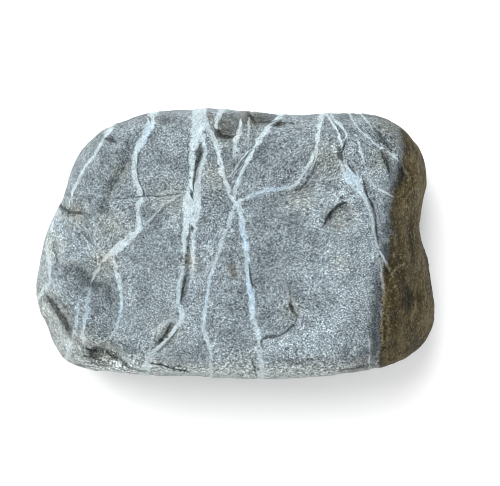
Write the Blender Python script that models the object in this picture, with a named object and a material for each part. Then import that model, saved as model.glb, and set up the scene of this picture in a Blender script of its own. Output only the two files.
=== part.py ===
"""Wishing stone: one palm-sized, water-worn grey pebble.

It lies on its flat back with the veined face up. +X runs along its length and +Z is up. The origin is on the
surface that it rests on, under the middle of its box.
"""

import math

import bmesh
import bpy
import numpy as np

# Driving dimensions, in metres.
LENGTH = 0.0900
WIDTH = 0.0605
THICKNESS = 0.0345

# Every place below is in millimetres on a stone of that size, seen from above.
MM = 0.001

# How finely the block is divided before it is shaped, and the share of its triangles that is kept.
BLOCK_CUTS = 95
KEPT_SHARE = 0.086

# The widest level, the height of the face over it, and the depth of the rounded back under it. The face is
# crowned: it drops by these amounts at the half sizes. Squareness is the power of the sum that joins two
# shares.
BELLY_LEVEL = 13.0
FACE_RISE = 21.6
BACK_DEPTH = 14.2
CROWN_ALONG = 0.9
CROWN_ACROSS = 0.6
HALF_SIZE = (45.0, 30.0)
SHOULDER_SQUARENESS = 4.4
BACK_SQUARENESS = 2.9
FACET_SQUARENESS = 20.0

# The outline at the widest level, clockwise from the left end. The right end has a waist at y = 4.
OUTLINE = [
    (-45.4, -12.8),
    (-44.4, -5.0),
    (-42.4, 3.2),
    (-38.8, 11.2),
    (-36.6, 17.2),
    (-33.8, 21.9),
    (-28.2, 26.2),
    (-19.6, 29.4),
    (-8.0, 30.1),
    (4.0, 29.5),
    (14.0, 28.9),
    (25.0, 29.4),
    (33.0, 27.8),
    (38.8, 24.7),
    (42.2, 20.2),
    (42.9, 14.4),
    (41.1, 7.6),
    (40.9, 2.4),
    (43.2, -3.6),
    (44.2, -10.0),
    (44.8, -15.5),
    (43.2, -21.2),
    (38.0, -25.8),
    (28.0, -28.7),
    (15.0, -30.0),
    (5.0, -30.6),
    (-12.0, -29.8),
    (-26.0, -29.0),
    (-37.2, -28.2),
    (-41.7, -25.2),
    (-44.2, -18.2),
]

# Flat sides worn or broken on the form: the way each faces, and how far its plane is from the middle.
FACETS = [
    dict(name="right flank", faces=(0.87, -0.07, 0.48), distance=40.9),
    dict(name="right end, upper", faces=(0.93, 0.22, 0.30), distance=47.0),
    dict(name="left slope", faces=(-0.62, 0.16, 0.77), distance=37.6),
    dict(name="lower left corner", faces=(-0.66, -0.46, 0.60), distance=42.6),
    dict(name="front edge", faces=(0.02, -0.80, 0.60), distance=35.9),
    dict(name="back edge", faces=(0.0, 0.84, 0.54), distance=35.3),
]

# Flake scars: the middle, the half sizes along and across the way of the steep wall, that way in degrees,
# and the depth.
SCARS = [
    dict(name="crescent scar", at=(24.6, 5.3), size=(3.3, 3.5), steep_at=140, depth=1.1),
    dict(name="left chip, upper lobe", at=(-32.4, -9.2), size=(5.2, 4.2), steep_at=82, depth=1.5),
    dict(name="left chip, lower lobe", at=(-26.8, -14.0), size=(6.4, 4.6), steep_at=72, depth=1.5),
    dict(name="nick in the left slope", at=(-31.9, 6.0), size=(1.0, 3.4), steep_at=96, depth=0.9),
    dict(name="bottom recess", at=(-26.4, -25.0), size=(2.9, 5.4), steep_at=92, depth=1.9),
    dict(name="top recess", at=(0.1, 24.2), size=(2.2, 3.4), steep_at=-92, depth=1.3),
    dict(name="top nick", at=(6.8, 27.2), size=(1.6, 3.6), steep_at=-88, depth=0.8),
    dict(name="right flank, upper hollow", at=(38.7, 15.4), size=(1.3, 4.2), steep_at=182, depth=0.9),
    dict(name="right flank, lower hollow", at=(39.9, -13.2), size=(1.4, 4.6), steep_at=180, depth=0.9),
    dict(name="hollow beside the forked vein", at=(16.8, 12.0), size=(2.2, 3.0), steep_at=60, depth=0.5),
]

# How sharply a scar ends: the power of its room at the gentle end, and how much less it is at the steep wall.
SCAR_RUN_OUT = 1.5
SCAR_STEEPNESS = 1.15

# Steps in the face: the surface to the right of the line, walking along it, lies lower by the drop.
LEDGES = [
    dict(name="left crease", drop=0.55, fade=6.0, line=[(-20.2, 18.2), (-21.8, 16.0), (-22.6, 13.8),
                                                       (-24.4, 11.8), (-25.2, 9.0), (-25.6, 5.5)]),
    dict(name="corner ridge", drop=1.3, fade=7.0, line=[(-40.0, -10.6), (-37.8, -12.0), (-36.0, -14.2),
                                                        (-34.4, -17.2), (-34.0, -19.0), (-34.8, -24.0)]),
    dict(name="bottom ledge", drop=0.9, fade=5.0, line=[(-8.0, -28.2), (-19.6, -26.8), (-22.4, -25.2),
                                                        (-24.2, -23.0), (-26.8, -22.3), (-31.4, -21.6)]),
    dict(name="lower right ledge", drop=0.5, fade=3.0, line=[(22.0, -27.9), (27.0, -27.0), (31.6, -25.8)]),
]

# A ledge takes this share of its length to grow to its full drop, and it drops between these distances
# beside its line.
LEDGE_RUN_IN = 0.14
LEDGE_EDGE = (-0.4, 0.8)

# Open clefts along the veins: depth, width and the line of the bottom.
CLEFTS = [
    dict(name="main cleft", width=1.8, depth=1.1, line=[(-5.6, 21.2), (-6.3, 17.8), (-6.7, 14.6),
                                                       (-7.3, 10.4)]),
    dict(name="lower cleft", width=1.7, depth=0.9, line=[(-8.4, -6.6), (-9.0, -10.6), (-9.5, -13.2)]),
    dict(name="loop cleft", width=1.9, depth=0.9, line=[(-12.0, -17.2), (-13.5, -19.8), (-15.8, -22.8)]),
    dict(name="right cleft", width=1.6, depth=0.8, line=[(32.4, 24.4), (33.8, 20.6), (35.0, 15.6)]),
    dict(name="lens crack", width=1.5, depth=0.8, line=[(29.3, 14.0), (30.1, 11.2), (30.8, 8.6)]),
]

# Slow swells of the worn surface: height, wavelength and how many waves cross each other.
SWELLS = [
    dict(height=0.26, wavelength=27.0, waves=9),
    dict(height=0.11, wavelength=11.0, waves=14),
    dict(height=0.055, wavelength=5.0, waves=22),
]
SWELL_SEED = 7
WAVELENGTH_SPREAD = (0.75, 1.35)

# Below the first level nothing is carved, and above the second everything is.
CARVED_FROM = 15.0
CARVED_ABOVE = 21.0

# The reach within which the surface is looked for from the middle, how often that is halved, and the
# distance between the points that its slope is taken from.
CAST_REACH = 80.0
CAST_HALVINGS = 34
SLOPE_REACH = 0.4

# The rock's mean colour and how matt it is.
ROCK_COLOUR = (0.26, 0.29, 0.30, 1.0)
ROCK_ROUGHNESS = 0.82


def smooth_step(low, high, value):
    """0 below low, 1 above high, and an even curve between."""
    share = np.clip((value - low) / (high - low), 0.0, 1.0)
    return share * share * (3.0 - 2.0 * share)


def closed_curve(points, steps=10):
    """Points along the smooth closed curve that passes through the given ones."""
    points = np.array(points, float)
    before, after, second = (np.roll(points, shift, axis=0) for shift in (1, -1, -2))
    t = np.linspace(0.0, 1.0, steps, endpoint=False)[:, None, None]
    bend = 2 * before - 5 * points + 4 * after - second
    twist = 3 * points - before - 3 * after + second
    curve = points + 0.5 * t * ((after - before) + t * (bend + t * twist))
    return curve.transpose(1, 0, 2).reshape(-1, 2)


def outline_reach(x, y):
    """How far the outline is from the middle, in the way of each point."""
    curve = closed_curve(OUTLINE)
    angles = np.arctan2(curve[:, 1], curve[:, 0])
    order = np.argsort(angles)
    reach = np.hypot(curve[:, 0], curve[:, 1])
    return np.interp(np.arctan2(y, x), angles[order], reach[order], period=2 * math.pi)


def fullness(points):
    """Below 1 inside the bare form, 1 on its surface and more outside."""
    x, y, z = points.T
    side = np.hypot(x, y) / outline_reach(x, y)
    half_along, half_across = HALF_SIZE
    face = FACE_RISE - CROWN_ALONG * (x / half_along) ** 2 - CROWN_ACROSS * (y / half_across) ** 2
    rise = np.clip(z - BELLY_LEVEL, 0.0, None) / face
    fall = np.clip(BELLY_LEVEL - z, 0.0, None) / BACK_DEPTH
    upper = (side**SHOULDER_SQUARENESS + rise**SHOULDER_SQUARENESS) ** (1 / SHOULDER_SQUARENESS)
    lower = (side**BACK_SQUARENESS + fall**BACK_SQUARENESS) ** (1 / BACK_SQUARENESS)
    total = np.where(z > BELLY_LEVEL, upper, lower) ** FACET_SQUARENESS
    for facet in FACETS:
        faces = np.array(facet["faces"]) / np.linalg.norm(facet["faces"])
        out = (points - (0.0, 0.0, BELLY_LEVEL)) @ faces
        total += np.clip(out / facet["distance"], 0.0, None) ** FACET_SQUARENESS
    return total ** (1 / FACET_SQUARENESS)


def cast_to_form(directions):
    """The place on the bare form that each direction from the middle of the belly meets."""
    middle = np.array([0.0, 0.0, BELLY_LEVEL])
    near = np.zeros(len(directions))
    far = np.full(len(directions), CAST_REACH)
    for _ in range(CAST_HALVINGS):
        half = 0.5 * (near + far)
        inside = fullness(middle + directions * half[:, None]) < 1.0
        near = np.where(inside, half, near)
        far = np.where(inside, far, half)
    return middle + directions * near[:, None]


def outward(points):
    """The way that the bare form faces at each point."""
    slope = np.empty_like(points)
    for axis in range(3):
        offset = np.zeros(3)
        offset[axis] = SLOPE_REACH
        slope[:, axis] = fullness(points + offset) - fullness(points - offset)
    return slope / np.linalg.norm(slope, axis=1)[:, None]


def beside(x, y, line):
    """Distance to a line of points, positive to its right, and the share of its length passed."""
    line = np.array(line, float)
    runs = np.diff(line, axis=0)
    lengths = np.hypot(runs[:, 0], runs[:, 1])
    passed = np.concatenate([[0.0], np.cumsum(lengths)])
    nearest = np.full(x.shape, np.inf)
    signed = np.zeros(x.shape)
    along = np.zeros(x.shape)
    for start, run, length, before in zip(line, runs, lengths, passed):
        t = ((x - start[0]) * run[0] + (y - start[1]) * run[1]) / length**2
        t = np.clip(t, 0.0, 1.0)
        off_x = x - start[0] - t * run[0]
        off_y = y - start[1] - t * run[1]
        distance = np.hypot(off_x, off_y)
        closer = distance < nearest
        nearest = np.where(closer, distance, nearest)
        right = np.sign(off_x * run[1] - off_y * run[0])
        signed = np.where(closer, distance * right, signed)
        along = np.where(closer, (before + t * length) / passed[-1], along)
    return signed, along


def scar_depth(x, y, scar):
    """A flake scar: an oval hollow with a steep wall on one side that runs out gently on the other."""
    turn = math.radians(scar["steep_at"])
    off_x, off_y = x - scar["at"][0], y - scar["at"][1]
    ahead = (off_x * math.cos(turn) + off_y * math.sin(turn)) / scar["size"][0]
    across = (off_y * math.cos(turn) - off_x * math.sin(turn)) / scar["size"][1]
    room = np.clip(1.0 - ahead**2 - across**2, 0.0, 1.0)
    steepness = SCAR_RUN_OUT - SCAR_STEEPNESS * np.clip(0.5 + 0.5 * ahead, 0.0, 1.0)
    return scar["depth"] * room**steepness


def ledge_depth(x, y, ledge):
    """A step that is full just beside its line and fades away from it and towards its ends."""
    right, along = beside(x, y, ledge["line"])
    ends = smooth_step(0.0, LEDGE_RUN_IN, along) * smooth_step(0.0, LEDGE_RUN_IN, 1.0 - along)
    fading = np.exp(-np.clip(right, 0.0, None) / ledge["fade"])
    return ledge["drop"] * ends * smooth_step(*LEDGE_EDGE, right) * fading


def cleft_depth(x, y, cleft):
    """A groove with a round bottom that pinches out at both ends."""
    right, along = beside(x, y, cleft["line"])
    open_share = np.sqrt(np.clip(4.0 * along * (1.0 - along), 0.0, 1.0))
    room = np.clip(1.0 - (2.0 * right / cleft["width"]) ** 2, 0.0, 1.0)
    return cleft["depth"] * open_share * room


def swell_height(points):
    """The sum of seeded plane waves, from long swells to short ones."""
    chance = np.random.default_rng(SWELL_SEED)
    height = np.zeros(len(points))
    for swell in SWELLS:
        ways = chance.normal(size=(swell["waves"], 3))
        ways /= np.linalg.norm(ways, axis=1)[:, None]
        pitch = 2 * math.pi / (swell["wavelength"] * chance.uniform(*WAVELENGTH_SPREAD, swell["waves"]))
        phases = chance.uniform(0.0, 2 * math.pi, swell["waves"])
        waves = np.sin(points @ (ways * pitch[:, None]).T + phases)
        height += swell["height"] * waves.sum(axis=1) / math.sqrt(swell["waves"])
    return height


def carved_depth(points):
    """How deep the scars, ledges and clefts go at each point of the bare form."""
    x, y, z = points.T
    depth = np.zeros(len(points))
    for scar in SCARS:
        depth = np.maximum(depth, scar_depth(x, y, scar))
    for ledge in LEDGES:
        depth += ledge_depth(x, y, ledge)
    for cleft in CLEFTS:
        depth += cleft_depth(x, y, cleft)
    return depth * smooth_step(CARVED_FROM, CARVED_ABOVE, z)


def stone_points(directions):
    """The finished surface in metres, flat below, fitted to the driving dimensions and on the origin."""
    bare = cast_to_form(directions)
    relief = swell_height(bare) - carved_depth(bare)
    points = bare + outward(bare) * relief[:, None]
    points[:, 2] = np.clip(points[:, 2], 0.0, None)
    low, high = points.min(axis=0), points.max(axis=0)
    middle = np.array([(low[0] + high[0]) / 2, (low[1] + high[1]) / 2, 0.0])
    return (points - middle) * (np.array([LENGTH, WIDTH, THICKNESS]) / (high - low))


def stone_material():
    """Fine sandy grey rock, matt and slightly blue."""
    material = bpy.data.materials.new("veined stone")
    material.use_nodes = True
    shader = material.node_tree.nodes["Principled BSDF"]
    shader.inputs["Base Color"].default_value = ROCK_COLOUR
    shader.inputs["Roughness"].default_value = ROCK_ROUGHNESS
    shader.inputs["Metallic"].default_value = 0.0
    return material


def make_stone(collection):
    """A finely divided block, cast to the form of the pebble and thinned where the surface is even."""
    block = bmesh.new()
    bmesh.ops.create_cube(block, size=2.0)
    bmesh.ops.subdivide_edges(block, edges=block.edges[:], cuts=BLOCK_CUTS, use_grid_fill=True)
    bmesh.ops.triangulate(block, faces=block.faces[:])
    mesh = bpy.data.meshes.new("stone")
    block.to_mesh(mesh)
    block.free()

    corners = np.empty(len(mesh.vertices) * 3)
    mesh.vertices.foreach_get("co", corners)
    half_sizes = np.array([LENGTH, WIDTH, THICKNESS]) / 2
    towards = corners.reshape(-1, 3) * half_sizes
    towards /= np.linalg.norm(towards, axis=1)[:, None]
    mesh.vertices.foreach_set("co", stone_points(towards).ravel())
    mesh.shade_smooth()
    mesh.update()

    stone = bpy.data.objects.new("stone", mesh)
    stone.data.materials.append(stone_material())
    thin = stone.modifiers.new("even areas", "DECIMATE")
    thin.decimate_type = "COLLAPSE"
    thin.ratio = KEPT_SHARE
    thin.use_collapse_triangulate = True
    collection.objects.link(stone)
    return stone


def main():
    for old in list(bpy.data.objects):
        bpy.data.objects.remove(old, do_unlink=True)
    collection = bpy.data.collections.new("wishing stone")
    bpy.context.scene.collection.children.link(collection)
    make_stone(collection)


main()
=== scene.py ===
# Wishing stone: a palm-sized grey pebble with white veins, on its back under a camera that looks down on it.
import math

import bpy
import numpy as np
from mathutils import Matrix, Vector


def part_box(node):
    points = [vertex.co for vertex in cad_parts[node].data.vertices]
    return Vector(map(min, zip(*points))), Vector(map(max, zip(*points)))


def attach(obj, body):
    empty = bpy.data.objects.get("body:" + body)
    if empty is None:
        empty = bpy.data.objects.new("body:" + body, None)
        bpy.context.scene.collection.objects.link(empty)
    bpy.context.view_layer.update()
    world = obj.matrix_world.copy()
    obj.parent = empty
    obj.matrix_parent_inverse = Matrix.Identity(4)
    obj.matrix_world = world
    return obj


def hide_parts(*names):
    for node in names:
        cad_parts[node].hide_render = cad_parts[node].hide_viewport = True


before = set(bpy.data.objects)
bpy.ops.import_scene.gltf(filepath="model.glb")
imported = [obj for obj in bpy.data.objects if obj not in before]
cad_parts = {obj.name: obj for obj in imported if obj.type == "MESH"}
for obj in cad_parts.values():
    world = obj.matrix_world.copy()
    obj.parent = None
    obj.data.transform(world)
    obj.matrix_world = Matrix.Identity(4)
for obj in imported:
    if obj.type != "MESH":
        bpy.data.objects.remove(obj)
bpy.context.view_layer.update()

mm = 0.001

# The photograph's view: its size in pixels, the lens, how far the camera leans to the right end, and where
# it looks.
photo = dict(
    columns=500,
    rows=486,
    focalPixels=1773.0,
    leanDegrees=5.0,
    reach=380.0,
    aim=(5.24, 0.25, 35.0),
    sensorWidth=36.0,
    nearest=0.01,  # metres
)

# The bare form, in millimetres: the same values as the solid's own source.
form = dict(
    bellyLevel=13.0,
    faceRise=21.6,
    backDepth=14.2,
    shoulderSquareness=4.4,
    backSquareness=2.9,
    facetSquareness=20.0,
    crownAlong=0.9,
    crownAcross=0.6,
    halfSize=(45.0, 30.0),
    outline=[
        (-45.4, -12.8), (-44.4, -5.0), (-42.4, 3.2), (-38.8, 11.2), (-36.6, 17.2), (-33.8, 21.9),
        (-28.2, 26.2), (-19.6, 29.4), (-8.0, 30.1), (4.0, 29.5), (14.0, 28.9), (25.0, 29.4), (33.0, 27.8),
        (38.8, 24.7), (42.2, 20.2), (42.9, 14.4), (41.1, 7.6), (40.9, 2.4), (43.2, -3.6), (44.2, -10.0),
        (44.8, -15.5), (43.2, -21.2), (38.0, -25.8), (28.0, -28.7), (15.0, -30.0), (5.0, -30.6),
        (-12.0, -29.8), (-26.0, -29.0), (-37.2, -28.2), (-41.7, -25.2), (-44.2, -18.2),
    ],
    facets=[
        dict(faces=(0.87, -0.07, 0.48), distance=40.9),
        dict(faces=(0.93, 0.22, 0.30), distance=47.0),
        dict(faces=(-0.62, 0.16, 0.77), distance=37.6),
        dict(faces=(-0.66, -0.46, 0.60), distance=42.6),
        dict(faces=(0.02, -0.80, 0.60), distance=35.9),
        dict(faces=(0.0, 0.84, 0.54), distance=35.3),
    ],
    carvedFrom=15.0,
    carvedAbove=21.0,
    markedFrom=18.0,  # cracks, lips and tones fade between these levels
    markedAbove=25.0,
    flankMarkedLower=11.0,  # that much lower on the flank
    flankFrom=30.0,
    flankBeyond=38.0,
    sheetsLeanBelow=14.0,
)

# Flake scars, in millimetres: middle, half sizes along and across the way of the steep wall, that way, depth.
scars = dict(
    crescent=dict(at=(24.6, 5.3), size=(3.3, 3.5), steepAt=140, depth=1.1),
    leftChipUpper=dict(at=(-32.4, -9.2), size=(5.2, 4.2), steepAt=82, depth=1.5),
    leftChipLower=dict(at=(-26.8, -14.0), size=(6.4, 4.6), steepAt=72, depth=1.5),
    leftNick=dict(at=(-31.9, 6.0), size=(1.0, 3.4), steepAt=96, depth=0.6),
    bottomRecess=dict(at=(-26.4, -25.0), size=(2.9, 5.4), steepAt=92, depth=1.9),
    topRecess=dict(at=(0.1, 24.2), size=(2.4, 3.6), steepAt=-92, depth=0.9),
    topNick=dict(at=(6.8, 27.2), size=(1.6, 3.6), steepAt=-88, depth=0.8),
    flankUpper=dict(at=(38.7, 15.4), size=(1.3, 4.2), steepAt=182, depth=0.9),
    flankLower=dict(at=(39.9, -13.2), size=(1.4, 4.6), steepAt=180, depth=0.9),
    besideFork=dict(at=(16.8, 12.0), size=(2.2, 3.0), steepAt=60, depth=0.5),
)

# Steps in the face, in millimetres: the surface to the right of the line, walking along it, is lower by the
# drop.
ledges = dict(
    leftCrease=dict(drop=0.55, fade=6.0, line=[(-20.2, 18.2), (-21.8, 16.0), (-22.6, 13.8), (-24.4, 11.8),
                                               (-25.2, 9.0), (-25.6, 5.5)]),
    cornerRidge=dict(drop=1.3, fade=7.0, line=[(-40.0, -10.6), (-37.8, -12.0), (-36.0, -14.2), (-34.4, -17.2),
                                               (-34.0, -19.0), (-34.8, -24.0)]),
    bottomLedge=dict(drop=0.9, fade=5.0, line=[(-8.0, -28.2), (-19.6, -26.8), (-22.4, -25.2), (-24.2, -23.0),
                                               (-26.8, -22.3), (-31.4, -21.6)]),
    lowerRight=dict(drop=0.5, fade=3.0, line=[(22.0, -27.9), (27.0, -27.0), (31.6, -25.8)]),
)

# Slow swells, the fine roughness of the worn surface, its pits, and how far veins stand up, in millimetres.
swells = dict(
    seed=7,
    bands=[
        dict(height=0.26, wavelength=27.0, waves=9),
        dict(height=0.11, wavelength=11.0, waves=14),
        dict(height=0.055, wavelength=5.0, waves=22),
    ],
    fineSeed=19,
    fineBands=[
        dict(height=0.045, wavelength=2.6, waves=34),
        dict(height=0.030, wavelength=1.3, waves=44),
    ],
    pitSeed=5,
    pits=520,
    pitRadius=(0.35, 0.95),
    pitDepth=(0.05, 0.26),
    veinRise=0.10,
)

# The mesh: cells along, across and up the rim, and the levels over the belly between which the rim runs.
cells = dict(along=236, across=160, up=26, rimTop=10.0, rimBottom=-3.0)

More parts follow.
